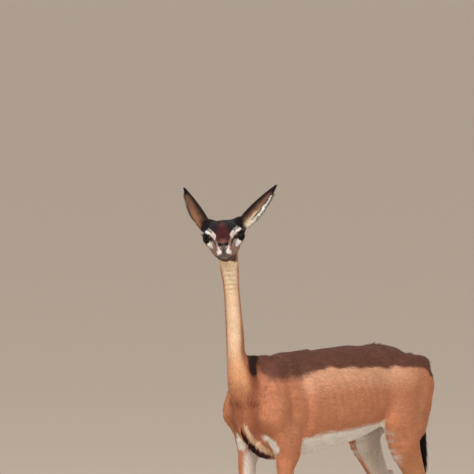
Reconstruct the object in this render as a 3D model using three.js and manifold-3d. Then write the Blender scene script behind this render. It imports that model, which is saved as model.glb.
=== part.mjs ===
// A life-size gerenuk, a long-necked antelope: an adult female standing on four legs, her head turned
// to her left. Millimetres, +Z up. She faces -Y and her left side is +X.
// The whole animal is one smooth field, the distance to the tips of her coat, made of elliptical
// sections carried along smooth paths and melted together. Each named part is that field sampled on a
// grid of its own and parted from its neighbours by thin plane cuts.
import * as THREE from "three";
import Module from "manifold-3d";
import { mergeVertices } from "three/addons/utils/BufferGeometryUtils.js";

const wasm = await Module();
wasm.setup();

// Driving dimensions. The withers stand over y = 0 and the ground is z = 0.
const WITHERS = 920; // shoulder height
const BRISKET = 648; // lowest point of the chest
const CHEST_FRONT = -119; // front of the chest
const RUMP = 560; // point of the buttock
const FORE_STEP = { left: -14, right: -34 }; // where each fore hoof stands, along y
const HIND_STEP = { left: 556, right: 512 }; // and each hind hoof
const FORE_TRACK = 52; // sideways from the middle to a fore hoof
const HIND_TRACK = 56;
const EYES = new THREE.Vector3(37, -211, 1242); // midway between the eyes
const HEAD_TURN = 44.5; // degrees, to her left
const HEAD_NOD = 6; // nose down
const HEAD_ROLL = 5.6; // her left eye is the higher
const EYE_RADIUS = 17;
const EYE_ASIDE = 35; // eyeball's centre from the head's middle plane
const EYE_GAZE = 47; // degrees that an eye looks out from straight ahead
const EAR_LENGTH = 146;
const HOOF_HEIGHT = 36;
const CUT = 0.3; // gap left where two parts meet
// Sizes to which the creases between the forms are filled.
const FILLET = { neckBase: 46, muscle: 30, leg: 26, ear: 32, keel: 22, throat: 16, hock: 14, lid: 12 };

const X = new THREE.Vector3(1, 0, 0);
const Y = new THREE.Vector3(0, 1, 0);
const Z = new THREE.Vector3(0, 0, 1);
const rad = THREE.MathUtils.degToRad;
const mix = (a, b, t) => a + (b - a) * t;

// Rows of numbers made dense by a Catmull-Rom spline through them.
function smoothRows(rows, steps) {
  const last = rows.length - 1;
  const out = [];
  for (let i = 0; i < last; i++) {
    const [a, b, c, d] = [rows[Math.max(i - 1, 0)], rows[i], rows[i + 1], rows[Math.min(i + 2, last)]];
    for (let s = 0; s < steps; s++) {
      const t = s / steps;
      out.push(
        b.map((value, k) => {
          const slopeB = (c[k] - a[k]) / 2;
          const slopeC = (d[k] - value) / 2;
          const step = c[k] - value;
          const square = 3 * step - 2 * slopeB - slopeC;
          const cube = slopeB + slopeC - 2 * step;
          return value + t * (slopeB + t * (square + t * cube));
        }),
      );
    }
  }
  out.push(rows[last]);
  return out;
}

// A length of flesh. Each row is x, y, z of the section's centre, its half width across, its half depth
// on the upper and on the lower side, how much wider it is above than below, and the turn of its
// sideways direction about z in degrees. The ends are rounded off over `cap` times their half depth.
// Returns the distance of a point from its surface.
function flesh(rows, cap = 1, steps = 5) {
  const dense = smoothRows(rows, steps);
  const reach = new THREE.Box3();
  dense.forEach((r) => {
    const size = Math.max(r[3], r[4], r[5]);
    reach.expandByPoint(new THREE.Vector3(r[0] - size, r[1] - size, r[2] - size));
    reach.expandByPoint(new THREE.Vector3(r[0] + size, r[1] + size, r[2] + size));
  });
  const far = 60;
  const spans = dense.slice(1).map((to, i) => {
    const from = dense[i];
    const run = [to[0] - from[0], to[1] - from[1], to[2] - from[2]];
    return { from, to, run, long2: run[0] ** 2 + run[1] ** 2 + run[2] ** 2 };
  });
  return (p) => {
    const outside = reach.distanceToPoint(p);
    if (outside > far) return outside;
    let best = Infinity;
    let span;
    let along = 0;
    for (const s of spans) {
      const dx = p.x - s.from[0];
      const dy = p.y - s.from[1];
      const dz = p.z - s.from[2];
      const t = Math.min(1, Math.max(0, (dx * s.run[0] + dy * s.run[1] + dz * s.run[2]) / s.long2));
      const d2 = (dx - t * s.run[0]) ** 2 + (dy - t * s.run[1]) ** 2 + (dz - t * s.run[2]) ** 2;
      if (d2 < best) [best, span, along] = [d2, s, t];
    }
    const at = span.from.map((value, k) => mix(value, span.to[k], along));
    const off = new THREE.Vector3(p.x - at[0], p.y - at[1], p.z - at[2]);
    const across = new THREE.Vector3(Math.cos(rad(at[7])), Math.sin(rad(at[7])), 0);
    const run = new THREE.Vector3(...span.run).normalize();
    const lift = run.clone().cross(across).normalize();
    const u = off.dot(across);
    const high = off.dot(lift);
    const depth = high > 0 ? at[4] : at[5];
    const width = at[3] * (1 + at[6] * Math.max(-1, Math.min(1, high / depth)));
    const v = Math.hypot(high, off.dot(run) / cap);
    const k1 = Math.hypot(u / width, v / depth);
    const k2 = Math.hypot(u / width ** 2, v / depth ** 2);
    return k1 < 1e-6 ? -Math.min(width, depth) : (k1 * (k1 - 1)) / k2;
  };
}

// Union of two fields whose crease is filled to a fillet of about the size given.
const melt = (a, b, size) => {
  const h = Math.max(size - Math.abs(a - b), 0) / size;
  return Math.min(a, b) - (h * h * size) / 4;
};

// Trunk, from the rump to the chest. Columns: y, top, bottom, widest level, half width.
const TRUNK = [
  [RUMP - 42, WITHERS - 50, BRISKET + 132, 820, 56],
  [490, WITHERS - 15, BRISKET + 102, 812, 77],
  [420, WITHERS + 1, BRISKET + 68, 800, 88],
  [325, WITHERS + 3, BRISKET + 28, 775, 102],
  [210, WITHERS, BRISKET + 4, 765, 108],
  [90, WITHERS - 3, BRISKET - 6, 768, 96],
  [0, WITHERS - 4, BRISKET, 772, 78],
  [CHEST_FRONT + 72, WITHERS - 12, 684, 785, 62],
].map(([y, top, bottom, level, half]) => [0, y, level, half, top - level, level - bottom, 0.04, 0]);

// Neck, from between the shoulders to the first neck bone.
const NECK = [
  [0, -52, 785, 50, 66, 60, 0, 0],
  [0, -97, 850, 43, 54, 54, 0, 14],
  [-3, -124, 915, 27, 37, 36, 0, 30],
  [-1, -132, 975, 24.5, 33, 32, 0, 37],
  [-1, -138, 1035, 22.5, 31.5, 31, 0, 42],
  [-4, -142, 1100, 21.5, 31.5, 30, 0, HEAD_TURN],
  [-7, -146, 1150, 24, 32, 31, 0, HEAD_TURN],
  [-8, -153, 1200, 27, 32, 32, 0, HEAD_TURN],
];

// Head, in its own frame: -y forward, +x to her left, +z up, from midway between the eyes.
// Columns: forward, top, bottom, half width, how much wider above than below.
const HEAD = [
  [-62, 27, -44, 31, 0.05],
  [-40, 37, -60, 40, 0.1],
  [-15, 41, -68, 43, 0.18],
  [10, 40.5, -64, 41, 0.26],
  [35, 38, -57, 33.5, 0.2],
  [60, 30, -52, 26.5, 0.12],
  [82, 23, -48, 23, 0.04],
  [101, 15.5, -42, 20.5, 0],
].map(([forward, top, bottom, half, egg]) => [
  0,
  -forward,
  (top + bottom) / 2,
  half,
  (top - bottom) / 2,
  (top - bottom) / 2,
  egg,
  0,
]);
const headTurn = new THREE.Quaternion()
  .setFromAxisAngle(Z, rad(HEAD_TURN))
  .multiply(new THREE.Quaternion().setFromAxisAngle(X, rad(HEAD_NOD)))
  .multiply(new THREE.Quaternion().setFromAxisAngle(Y, -rad(HEAD_ROLL)));
const headBack = headTurn.clone().invert();
const inHead = (p) => p.clone().sub(EYES).applyQuaternion(headBack);
const fromHead = (x, y, z) => new THREE.Vector3(x, y, z).applyQuaternion(headTurn).add(EYES);

// A leg is rows of y and z down its length with half width and half depths before and behind it.
const leg = (side, rows) =>
  rows.map(([x, y, z, half, front, back]) => [side * x, y, z, half, front, back, 0, 0]);

function foreleg(side, hoofY) {
  const elbowY = mix(hoofY, -8, 0.5);
  const shin = (z) => mix(hoofY, elbowY, Math.min(1, z / 640)); // the leg leans from the elbow to the hoof
  return leg(side, [
    [64, -4, 700, 30, 42, 38],
    [65, shin(640), 640, 25, 29, 28],
    [64, shin(575) - 1, 575, 20.5, 24, 26],
    [62, shin(490), 490, 15.5, 17.5, 19],
    [60, shin(412), 412, 14, 16, 16],
    [59, shin(372) - 2, 372, 17, 18.5, 17],
    [58, shin(335), 335, 13.5, 14.5, 15.5],
    [56, shin(230), 230, 11, 12, 13.5],
    [54, shin(125), 125, 11.5, 12.5, 14.5],
    [53, shin(88), 88, 14.5, 15.5, 18],
    [52.5, hoofY - 12, 58, 14.5, 15, 16],
    [FORE_TRACK, hoofY - 20, 26, 19, 22, 20],
  ]);
}

function hindleg(side, hoofY) {
  return leg(side, [
    [58, 500, 800, 36, 86, 66],
    [66, 458, 720, 42, 74, 76],
    [72, 440, 660, 38, 56, 54],
    [72, 472, 590, 27, 39, 38],
    [68, 518, 510, 18.5, 27, 28],
    [65, 558, 445, 15, 22, 24],
    [63, mix(hoofY, 584, 0.9), 396, 18, 23, 24],
    [62, mix(hoofY, 580, 0.85), 352, 15, 19, 19],
    [61, mix(hoofY, 570, 0.7), 290, 12, 15, 15.5],
    [59, mix(hoofY, 560, 0.5), 200, 11.5, 14, 14.5],
    [57.5, mix(hoofY, 556, 0.2), 125, 12, 14, 15.5],
    [57, hoofY + 8, 90, 14.5, 16, 19],
    [56.5, hoofY - 4, 58, 14.5, 15, 16],
    [HIND_TRACK, hoofY - 14, 26, 19, 22, 20],
  ]);
}

// Muscles and points of bone under the coat, on the left side. Columns: x, y, z, half width, and half
// depth above and below.
const MUSCLES = {
  shoulderBlade: [
    [38, 4, 858, 22, 44, 44],
    [66, -44, 808, 24, 46, 44],
    [66, -56, 766, 29, 35, 33],
  ],
  upperArm: [
    [66, -56, 766, 29, 35, 33],
    [69, -14, 705, 28, 38, 34],
    [66, 4, 668, 22, 26, 24],
  ],
  hip: [
    [40, 396, 864, 20, 26, 30],
    [50, 462, 828, 34, 44, 54],
  ],
  buttock: [
    [38, RUMP - 42, 832, 26, 34, 30],
    [52, RUMP - 62, 760, 32, 46, 44],
  ],
  thigh: [
    [60, 432, 800, 34, 60, 50],
    [82, 402, 712, 24, 36, 36],
  ],
};
const muscleRows = (side) =>
  Object.values(MUSCLES).map((rows) => rows.map(([x, ...rest]) => [side * x, ...rest, 0, 0]));
// Calcaneus, the point of the hock, stands up behind the joint.
const hockPoint = (side, hoofY) => [
  [side * 63, mix(hoofY, 590, 0.95), 398, 12, 14, 14, 0, 0],
  [side * 63, mix(hoofY, 602, 0.98), 436, 10, 11, 11, 0, 0],
  [side * 64.5, 574, 492, 8, 9, 9, 0, 0],
  [side * 66, 536, 550, 8, 9, 9, 0, 0],
];
const BRISKET_KEEL = [
  [0, CHEST_FRONT + 36, 790, 17, 24, 22, 0, 0],
  [0, CHEST_FRONT + 44, 735, 16, 26, 26, 0, 0],
  [0, CHEST_FRONT + 84, 682, 16, 24, 22, 0, 0],
  [0, 4, 664, 18, 20, 20, 0, 0],
];
const TAIL = [
  [0, RUMP - 24, 872, 17, 15, 15, 0, 0],
  [0, RUMP + 8, 838, 12, 11, 11, 0, 0],
  [2, RUMP + 22, 770, 8.5, 8.5, 8.5, 0, 0],
  [4, RUMP + 26, 690, 7.5, 7.5, 7.5, 0, 0],
];
const TAIL_TUFT = [
  [4, RUMP + 26, 676, 8, 8, 8, 0, 0],
  [5, RUMP + 27, 630, 12, 12, 12, 0, 0],
  [6, RUMP + 27, 585, 9, 9, 9, 0, 0],
  [6, RUMP + 26, 556, 2.5, 2.5, 2.5, 0, 0],
];
const RIDGE = [
  [0, 120, 882, 24, 30, 30, 0, 0],
  [0, 20, 880, 27, 31, 30, 0, 0],
  [0, -30, 886, 25, 33, 30, 0, 0],
  [0, -68, 888, 22, 34, 32, 0, 0],
];

const trunk = flesh(TRUNK, 0.5);
const neck = flesh(NECK);
const skull = flesh(HEAD);
const keel = flesh(BRISKET_KEEL);
const ridge = flesh(RIDGE);
const tail = flesh(TAIL);
const sides = { left: 1, right: -1 };
const legs = Object.entries(sides).map(([name, side]) => ({
  fore: flesh(foreleg(side, FORE_STEP[name])),
  hind: flesh(hindleg(side, HIND_STEP[name])),
  hock: flesh(hockPoint(side, HIND_STEP[name])),
  masses: muscleRows(side).map((rows) => flesh(rows)),
}));

// Points of the head in its own frame: the brow and lid round each eye, the cheek, and the ear's root.
const BROW = 22; // ball of flesh round the eyeball
const eyeAt = (side) => new THREE.Vector3(side * EYE_ASIDE, 0, 0);
const ball = (p, centre, r) => p.distanceTo(centre) - r;

// Each ear's frame, in the head's own axes: root, tip direction, and the way its opening faces.
const EARS = {
  left: { root: [34, 56, 14], tip: [0.785, 0.25, 0.567], mouth: [0.6, 0.42, -0.6] },
  right: { root: [-34, 56, 14], tip: [-0.445, 0.65, 0.615], mouth: [-0.72, 0.5, -0.4] },
};
const EAR_ROOT_RADIUS = 20;
const EAR_ROOT_REACH = { below: -10, above: 26 }; // the stub's ends along the ear's axis, from the root
function earFrame({ root, tip, mouth }) {
  const axis = new THREE.Vector3(...tip).normalize();
  const open = new THREE.Vector3(...mouth);
  open.addScaledVector(axis, -open.dot(axis)).normalize();
  return { root: new THREE.Vector3(...root), axis, open, wide: new THREE.Vector3().crossVectors(open, axis) };
}
const earRoot = (p, ear) => {
  const { root, axis } = earFrame(ear);
  const off = p.clone().sub(root);
  const { below, above } = EAR_ROOT_REACH;
  const t = Math.max(below, Math.min(above, off.dot(axis)));
  const narrowing = (t - below) / (above - below);
  return off.addScaledVector(axis, -t).length() - mix(EAR_ROOT_RADIUS + 1, EAR_ROOT_RADIUS - 4, narrowing);
};

function headField(p) {
  const q = inHead(p);
  if (q.length() > 260) return q.length() - 200;
  let d = skull(q);
  for (const [name, side] of Object.entries(sides)) {
    d = melt(d, ball(q, eyeAt(side), BROW), FILLET.lid);
    d = melt(d, earRoot(q, EARS[name]), FILLET.ear);
  }
  return d;
}

// The whole animal without ears' blades, eyes and hooves.
function body(p) {
  let d = melt(trunk(p), neck(p), FILLET.neckBase);
  d = melt(d, headField(p), FILLET.throat);
  d = melt(d, keel(p), FILLET.keel);
  d = melt(d, ridge(p), FILLET.muscle);
  for (const { fore, hind, hock, masses } of legs) {
    d = melt(d, fore(p), FILLET.leg);
    d = melt(d, melt(hind(p), hock(p), FILLET.hock), FILLET.leg);
    for (const mass of masses) d = melt(d, mass(p), FILLET.muscle);
  }
  return melt(d, tail(p), FILLET.lid);
}

// Surface of a field as a closed geometry, by the surface-nets rule: each grid cell that the surface
// crosses gets one vertex, at the mean of the crossings, and each crossed grid edge one quad.
function surface(field, low, high, cell) {
  const count = [0, 1, 2].map((k) => Math.ceil((high[k] - low[k]) / cell[k]) + 1);
  const [nx, ny, nz] = count;
  const at = (i, j, k) => i + nx * (j + ny * k);
  const value = new Float64Array(nx * ny * nz);
  const p = new THREE.Vector3();
  for (let k = 0; k < nz; k++)
    for (let j = 0; j < ny; j++)
      for (let i = 0; i < nx; i++) {
        const rim = i === 0 || j === 0 || k === 0 || i === nx - 1 || j === ny - 1 || k === nz - 1;
        p.set(low[0] + i * cell[0], low[1] + j * cell[1], low[2] + k * cell[2]);
        value[at(i, j, k)] = rim ? 1 : field(p);
      }
  // Where only two opposite corners of a square are inside, the surface would pinch: one more goes in.
  const step = [1, nx, nx * ny];
  for (let pass = 0; pass < 3; pass++)
    for (let k = 1; k < nz - 2; k++)
      for (let j = 1; j < ny - 2; j++)
        for (let i = 1; i < nx - 2; i++)
          for (const [s, t] of [[0, 1], [1, 2], [2, 0]]) {
            const square = [0, step[s], step[s] + step[t], step[t]].map((d) => at(i, j, k) + d);
            const inside = square.map((c) => value[c] < 0);
            if (inside[0] !== inside[2] || inside[1] !== inside[3] || inside[0] === inside[1]) continue;
            const [a, b] = square.filter((c, n) => !inside[n]);
            value[value[a] < value[b] ? a : b] = -0.1;
          }
  const corners = [0, 1, 2, 3, 4, 5, 6, 7].map((c) => [c & 1, (c >> 1) & 1, c >> 2]);
  const edges = [];
  for (let a = 0; a < 8; a++) for (const bit of [1, 2, 4]) if (!(a & bit)) edges.push([a, a | bit]);
  const vertexOf = new Int32Array(nx * ny * nz).fill(-1);
  const positions = [];
  for (let k = 0; k < nz - 1; k++)
    for (let j = 0; j < ny - 1; j++)
      for (let i = 0; i < nx - 1; i++) {
        const v = corners.map(([a, b, c]) => value[at(i + a, j + b, k + c)]);
        const sum = [0, 0, 0];
        let n = 0;
        for (const [a, b] of edges) {
          if (v[a] < 0 === v[b] < 0) continue;
          const t = v[a] / (v[a] - v[b]);
          corners[a].forEach((c, m) => (sum[m] += mix(c, corners[b][m], t)));
          n++;
        }
        if (!n) continue;
        vertexOf[at(i, j, k)] = positions.length / 3;
        positions.push(...[i, j, k].map((c, m) => low[m] + (c + sum[m] / n) * cell[m]));
      }
  const index = [];
  const quad = (a, b, c, d, flip) => index.push(...(flip ? [a, c, b, a, d, c] : [a, b, c, a, c, d]));
  for (let k = 0; k < nz - 1; k++)
    for (let j = 0; j < ny - 1; j++)
      for (let i = 0; i < nx - 1; i++) {
        const here = at(i, j, k);
        for (let m = 0; m < 3; m++) {
          const inside = value[here] < 0;
          if (inside === value[here + step[m]] < 0) continue;
          const [s, t] = [step[(m + 1) % 3], step[(m + 2) % 3]];
          const around = [here, here - s, here - s - t, here - t].map((cellIndex) => vertexOf[cellIndex]);
          quad(...around, !inside);
        }
      }
  const geometry = new THREE.BufferGeometry();
  geometry.setAttribute("position", new THREE.Float32BufferAttribute(positions, 3));
  geometry.setIndex(index);
  return geometry;
}

function solid(geometry) {
  const bare = geometry.clone();
  bare.deleteAttribute("normal");
  bare.deleteAttribute("uv");
  const merged = mergeVertices(bare, 1e-3);
  return new wasm.Manifold(
    new wasm.Mesh({
      numProp: 3,
      vertProperties: new Float32Array(merged.attributes.position.array),
      triVerts: new Uint32Array(merged.index.array),
    }),
  );
}

function geometryOf(made) {
  const { vertProperties, triVerts } = made.getMesh();
  const geometry = new THREE.BufferGeometry();
  geometry.setAttribute("position", new THREE.BufferAttribute(vertProperties, 3));
  geometry.setIndex(new THREE.BufferAttribute(triVerts, 1));
  return geometry;
}

// A box that keeps or takes away material, from its low to its high corner, or standing on a plane.
function box(low, high) {
  const size = high.map((h, k) => h - low[k]);
  return new THREE.BoxGeometry(...size).translate(...low.map((l, k) => l + size[k] / 2));
}
const HUGE = 3000; // beyond the animal on every side
function beyond(point, normal, gap = CUT / 2) {
  const turn = new THREE.Quaternion().setFromUnitVectors(Z, normal.clone().normalize());
  return new THREE.BoxGeometry(HUGE, HUGE, HUGE)
    .translate(0, 0, HUGE / 2 + gap)
    .applyQuaternion(turn)
    .translate(point.x, point.y, point.z);
}

// Planes and boxes that part the animal.
const ATLAS = new THREE.Vector3(-16, -150, 1168);
const ATLAS_UP = fromHead(0, -30, 78).sub(EYES).normalize(); // the head lies on this side of the cut
const NECK_BASE = new THREE.Vector3(0, -80, 868);
const NECK_UP = new THREE.Vector3(0, -0.5, 0.86);
const ELBOW_CUT = 676;
const FORE_INNER = 34; // the brisket lies inside this, the foreleg outside
const ELBOW_BACK = 44; // and the belly lies behind this
const KNEE_CUT = 372;
const GROIN_CUT = 690;
const FLANK_FOLD = new THREE.Vector3(0, 382, 690); // the hind leg lies behind and below this
const FLANK_OUT = new THREE.Vector3(0, 0.75, -0.66);
const HOCK_CUT = 372;

// The space of a leg, with its walls moved in by the amount given, or out when that is negative.
const foreSpace = (side, by) => {
  const [a, b] = [side * (FORE_INNER + by), side * 150];
  return solid(box([Math.min(a, b), -110, -1], [Math.max(a, b), ELBOW_BACK - by, ELBOW_CUT - by]));
};
const hindSpace = (side, by) => {
  const [a, b] = [side * (1 + by), side * 150];
  return solid(box([Math.min(a, b), 300, -1], [Math.max(a, b), 660, GROIN_CUT - by])).intersect(
    solid(beyond(FLANK_FOLD, FLANK_OUT, by)),
  );
};

// Sampling grids, each with its low and high corner and the size of a cell, mirrored for the right side.
const GRIDS = {
  head: [[-130, -380, 1120], [150, -60, 1330], [12, 12, 12]],
  neck: [[-80, -230, 760], [80, -40, 1240], [14, 14, 38]],
  trunk: [[-150, -170, 600], [150, 620, 960], [29, 38, 27]],
  tail: [[-30, RUMP - 30, 668], [34, RUMP + 70, 900], [7, 7, 26]],
  tailTuft: [[-20, RUMP + 5, 540], [32, RUMP + 65, 700], [6, 6, 16]],
  foreUpper: [[20, -110, 350], [140, 120, 700], [15, 15, 42]],
  foreLower: [[20, -60, 12], [140, 60, 400], [9, 9.5, 38]],
  hindUpper: [[-6, 320, 340], [150, 640, 770], [18, 22, 34]],
  hindLower: [[20, -60, 12], [140, 640, 400], [9, 10, 38]],
};
const carve = ([low, high, cell], field = body) => solid(surface(field, low, high, cell));
function mirrored([low, high, cell], side) {
  if (side > 0) return [low, high, cell];
  return [[-high[0], low[1], low[2]], [-low[0], high[1], high[2]], cell];
}
const shifted = ([low, high, cell], from, to = from) => [
  [low[0], low[1] + from, low[2]],
  [high[0], high[1] + to, high[2]],
  cell,
];
const above = (z) => solid(beyond(new THREE.Vector3(0, 0, z), Z));
const below = (z) => solid(beyond(new THREE.Vector3(0, 0, z), Z.clone().negate()));

const TAIL_CUT = new THREE.Vector3(0, RUMP + 2, 850);
const TAIL_OUT = new THREE.Vector3(0, 0.8, -0.6);
const TAIL_TIP_CUT = 680;
const tailSpace = (by) =>
  solid(box([-18 + by, RUMP - 4 + by, 640], [18 - by, RUMP + 80, 900])).intersect(
    solid(beyond(TAIL_CUT, TAIL_OUT, by)),
  );

const nodes = {};
nodes.head = carve(GRIDS.head).intersect(solid(beyond(ATLAS, ATLAS_UP)));
nodes.neck = carve(GRIDS.neck)
  .subtract(solid(beyond(ATLAS, ATLAS_UP, -CUT / 2)))
  .intersect(solid(beyond(NECK_BASE, NECK_UP)));
nodes.trunk = carve(GRIDS.trunk)
  .subtract(solid(beyond(NECK_BASE, NECK_UP, -CUT / 2)))
  .subtract(tailSpace(-CUT / 2));
for (const side of Object.values(sides))
  nodes.trunk = nodes.trunk.subtract(foreSpace(side, -CUT / 2)).subtract(hindSpace(side, -CUT / 2));
nodes.tail = carve(GRIDS.tail).intersect(tailSpace(CUT / 2)).intersect(above(TAIL_TIP_CUT));
nodes.tail_tuft = carve(GRIDS.tailTuft, flesh(TAIL_TUFT)).intersect(below(TAIL_TIP_CUT));

for (const [name, side] of Object.entries(sides)) {
  const stepF = FORE_STEP[name];
  const stepH = HIND_STEP[name];
  nodes[`foreleg_upper_${name}`] = carve(mirrored(GRIDS.foreUpper, side))
    .intersect(foreSpace(side, CUT / 2))
    .intersect(above(KNEE_CUT));
  nodes[`foreleg_lower_${name}`] = carve(shifted(mirrored(GRIDS.foreLower, side), stepF))
    .intersect(above(HOOF_HEIGHT))
    .intersect(below(KNEE_CUT));
  nodes[`hindleg_upper_${name}`] = carve(mirrored(GRIDS.hindUpper, side))
    .intersect(hindSpace(side, CUT / 2))
    .intersect(above(HOCK_CUT));
  nodes[`hindleg_lower_${name}`] = carve(shifted(mirrored(GRIDS.hindLower, side), stepH, 0))
    .intersect(above(HOOF_HEIGHT))
    .intersect(below(HOCK_CUT));
}

// A loft is a solid through rings of points, closed at both ends by fans.
function loft(rings) {
  const n = rings[0].length;
  const positions = rings.flat().flatMap((p) => p.toArray());
  const index = [];
  for (let r = 0; r < rings.length - 1; r++)
    for (let i = 0; i < n; i++) {
      const [a, b] = [r * n + i, r * n + ((i + 1) % n)];
      index.push(a, b, b + n, a, b + n, a + n);
    }
  for (const [ring, flip] of [[0, true], [rings.length - 1, false]]) {
    const centre = rings[ring].reduce((sum, p) => sum.add(p), new THREE.Vector3()).divideScalar(n);
    const c = positions.length / 3;
    positions.push(...centre.toArray());
    for (let i = 0; i < n; i++) {
      const [a, b] = [ring * n + i, ring * n + ((i + 1) % n)];
      index.push(...(flip ? [c, b, a] : [c, a, b]));
    }
  }
  const geometry = new THREE.BufferGeometry();
  geometry.setAttribute("position", new THREE.Float32BufferAttribute(positions, 3));
  geometry.setIndex(index);
  return geometry;
}

// One claw of a cloven hoof: a pointed sole that leans back and narrows to the coronet. The toe is
// drawn in towards the split and the sole's edge is a little worn.
const CLAW = { length: 66, width: 21, split: 3, lean: 5, forward: 23, worn: 0.95 };
const CORONET = { length: 0.6, width: 0.86 }; // as shares of the sole's
const TOE = { narrow: 0.45, inward: 0.16 };
const CLAW_LEVELS = [0, 0.15, 0.6, 1]; // from the sole to the coronet
const CLAW_SIDES = 12;
function claw(side, track, hoofY, inner) {
  const away = inner ? -1 : 1; // from the split
  const rings = CLAW_LEVELS.map((level) => {
    const worn = level === 0 ? CLAW.worn : 1;
    const long = CLAW.length * mix(1, CORONET.length, level) * worn;
    const wide = CLAW.width * mix(1, CORONET.width, level) * worn;
    const ring = [];
    for (let i = 0; i < CLAW_SIDES; i++) {
      const a = (i / CLAW_SIDES) * 2 * Math.PI;
      const toe = Math.max(0, Math.cos(a));
      const bulge = 1 + Math.sin(a) * (1 - TOE.narrow * toe ** 2);
      const x = away * (CLAW.split / 2 + (wide / 2) * bulge - TOE.inward * wide * toe ** 3);
      const y = -(long / 2) * Math.cos(a) + CLAW.lean * level - CLAW.forward;
      ring.push(new THREE.Vector3(side * (track + x), hoofY + y, level * (HOOF_HEIGHT - CUT)));
    }
    return side * away > 0 ? ring : ring.reverse();
  });
  return loft(rings);
}
for (const [name, side] of Object.entries(sides))
  for (const inner of [false, true]) {
    const which = inner ? "inner" : "outer";
    nodes[`hoof_fore_${name}_${which}`] = solid(claw(side, FORE_TRACK, FORE_STEP[name], inner));
    nodes[`hoof_hind_${name}_${which}`] = solid(claw(side, HIND_TRACK, HIND_STEP[name] + 6, inner));
  }

// Ear: a leaf rolled into a cup. Each section is an arc of a circle; the arc is nearly closed at the
// root and opens towards the tip. LEAF is the half width of the leaf from root to tip, as a share of
// the ear's length, CUP half the angle of the arc in degrees, and ROLL how much tighter each ear is rolled.
const EAR_THICK = 5;
const EAR_RINGS = 11;
const EAR_COLUMNS = 8;
const LEAF = [0.2, 0.22, 0.235, 0.235, 0.215, 0.18, 0.135, 0.08, 0.012];
const CUP = [122, 104, 93, 86, 80, 76, 72, 70, 70];
const ROLL = { left: 1, right: 1.14 };
function rowAt(row, s) {
  const at = Math.min(Math.max(s, 0), 1) * (row.length - 1);
  const i = Math.min(Math.floor(at), row.length - 2);
  return mix(row[i], row[i + 1], at - i);
}
function ear(name) {
  const { root, axis, open, wide } = earFrame(EARS[name]);
  const rings = [];
  for (let r = 0; r <= EAR_RINGS; r++) {
    const s = r / EAR_RINGS;
    const half = rad(rowAt(CUP, s) * ROLL[name]);
    const radius = (EAR_LENGTH * rowAt(LEAF, s)) / half;
    const bend = 0.6 * radius - 9 * s * s; // the arc's centre leaves the axis, and the tip curls back
    const centre = root.clone().addScaledVector(axis, s * EAR_LENGTH).addScaledVector(open, bend);
    const ring = [];
    for (const wall of [0, 1])
      for (let i = 0; i <= EAR_COLUMNS; i++) {
        const turn = wall ? 1 - i / EAR_COLUMNS : i / EAR_COLUMNS;
        const a = mix(-half, half, turn);
        const rim = 1 - 0.75 * Math.abs(2 * turn - 1) ** 4; // thinner at the edges
        const thick = Math.min(EAR_THICK, radius) * rim * (1 - 0.5 * s);
        const reach = radius + (wall ? -thick : thick) / 2;
        ring.push(
          centre
            .clone()
            .addScaledVector(open, -Math.cos(a) * reach)
            .addScaledVector(wide, Math.sin(a) * reach)
            .applyQuaternion(headTurn)
            .add(EYES),
        );
      }
    rings.push(ring);
  }
  return loft(rings);
}

const EAR_CUT = 18; // along the ear's axis, where the blade leaves the head
const EAR_CLEAR = { radius: 40, length: 60 }; // the space beyond that cut, kept free of the head
const SOCKET_GAP = CUT + 1;
const LIDS = { wide: 15.5, tall: 11.5, deep: 16, forward: 15 }; // the opening between them
for (const [name, side] of Object.entries(sides)) {
  const { root, axis } = earFrame(EARS[name]);
  const start = fromHead(...root.clone().addScaledVector(axis, EAR_CUT).toArray());
  const out = axis.clone().applyQuaternion(headTurn);
  nodes[`ear_${name}`] = solid(ear(name)).intersect(solid(beyond(start, out)));
  const clear = new THREE.CylinderGeometry(EAR_CLEAR.radius, EAR_CLEAR.radius, EAR_CLEAR.length, 24)
    .rotateX(Math.PI / 2)
    .translate(0, 0, EAR_CLEAR.length / 2 - CUT / 2)
    .applyQuaternion(new THREE.Quaternion().setFromUnitVectors(Z, out))
    .translate(start.x, start.y, start.z);
  nodes.head = nodes.head.subtract(solid(clear));

  // Eyeball, its socket, and the almond-shaped opening between the lids.
  const centre = fromHead(side * EYE_ASIDE, 0, 0);
  const gaze = new THREE.Vector3(side * Math.sin(rad(EYE_GAZE)), -Math.cos(rad(EYE_GAZE)), 0.05)
    .normalize()
    .applyQuaternion(headTurn);
  const eyeball = new THREE.SphereGeometry(EYE_RADIUS, 12, 8).translate(...centre.toArray());
  nodes[`eye_${name}`] = solid(eyeball);
  const socket = new THREE.SphereGeometry(EYE_RADIUS + SOCKET_GAP, 12, 8).translate(...centre.toArray());
  const up = Z.clone().applyQuaternion(headTurn);
  const sideways = new THREE.Vector3().crossVectors(up, gaze).normalize();
  const basis = new THREE.Matrix4().makeBasis(sideways, up, gaze);
  const opening = new THREE.SphereGeometry(1, 12, 6)
    .scale(LIDS.wide, LIDS.tall, LIDS.deep)
    .applyMatrix4(basis)
    .translate(...centre.clone().addScaledVector(gaze, LIDS.forward).toArray());
  nodes.head = nodes.head.subtract(solid(socket)).subtract(solid(opening));
}

// Colours, roughness and metalness of the finishes.
const finish = (color, roughness) => new THREE.MeshStandardMaterial({ color, roughness, metalness: 0 });
const COAT = finish(0xb9764c, 0.75);
const THROAT = finish(0xd9a878, 0.75);
const FACE = finish(0x7a4433, 0.7);
const EAR = finish(0x9a6a4c, 0.75);
const TUFT = finish(0x1d1512, 0.8);
const EYE = finish(0x120b08, 0.08);
const HORN = finish(0x1e1a18, 0.4);
const finishes = [
  [/^eye_/, EYE],
  [/^hoof_/, HORN],
  [/^ear_/, EAR],
  [/^tail_tuft/, TUFT],
  [/^head/, FACE],
  [/^neck/, THROAT],
  [/./, COAT],
];

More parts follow.
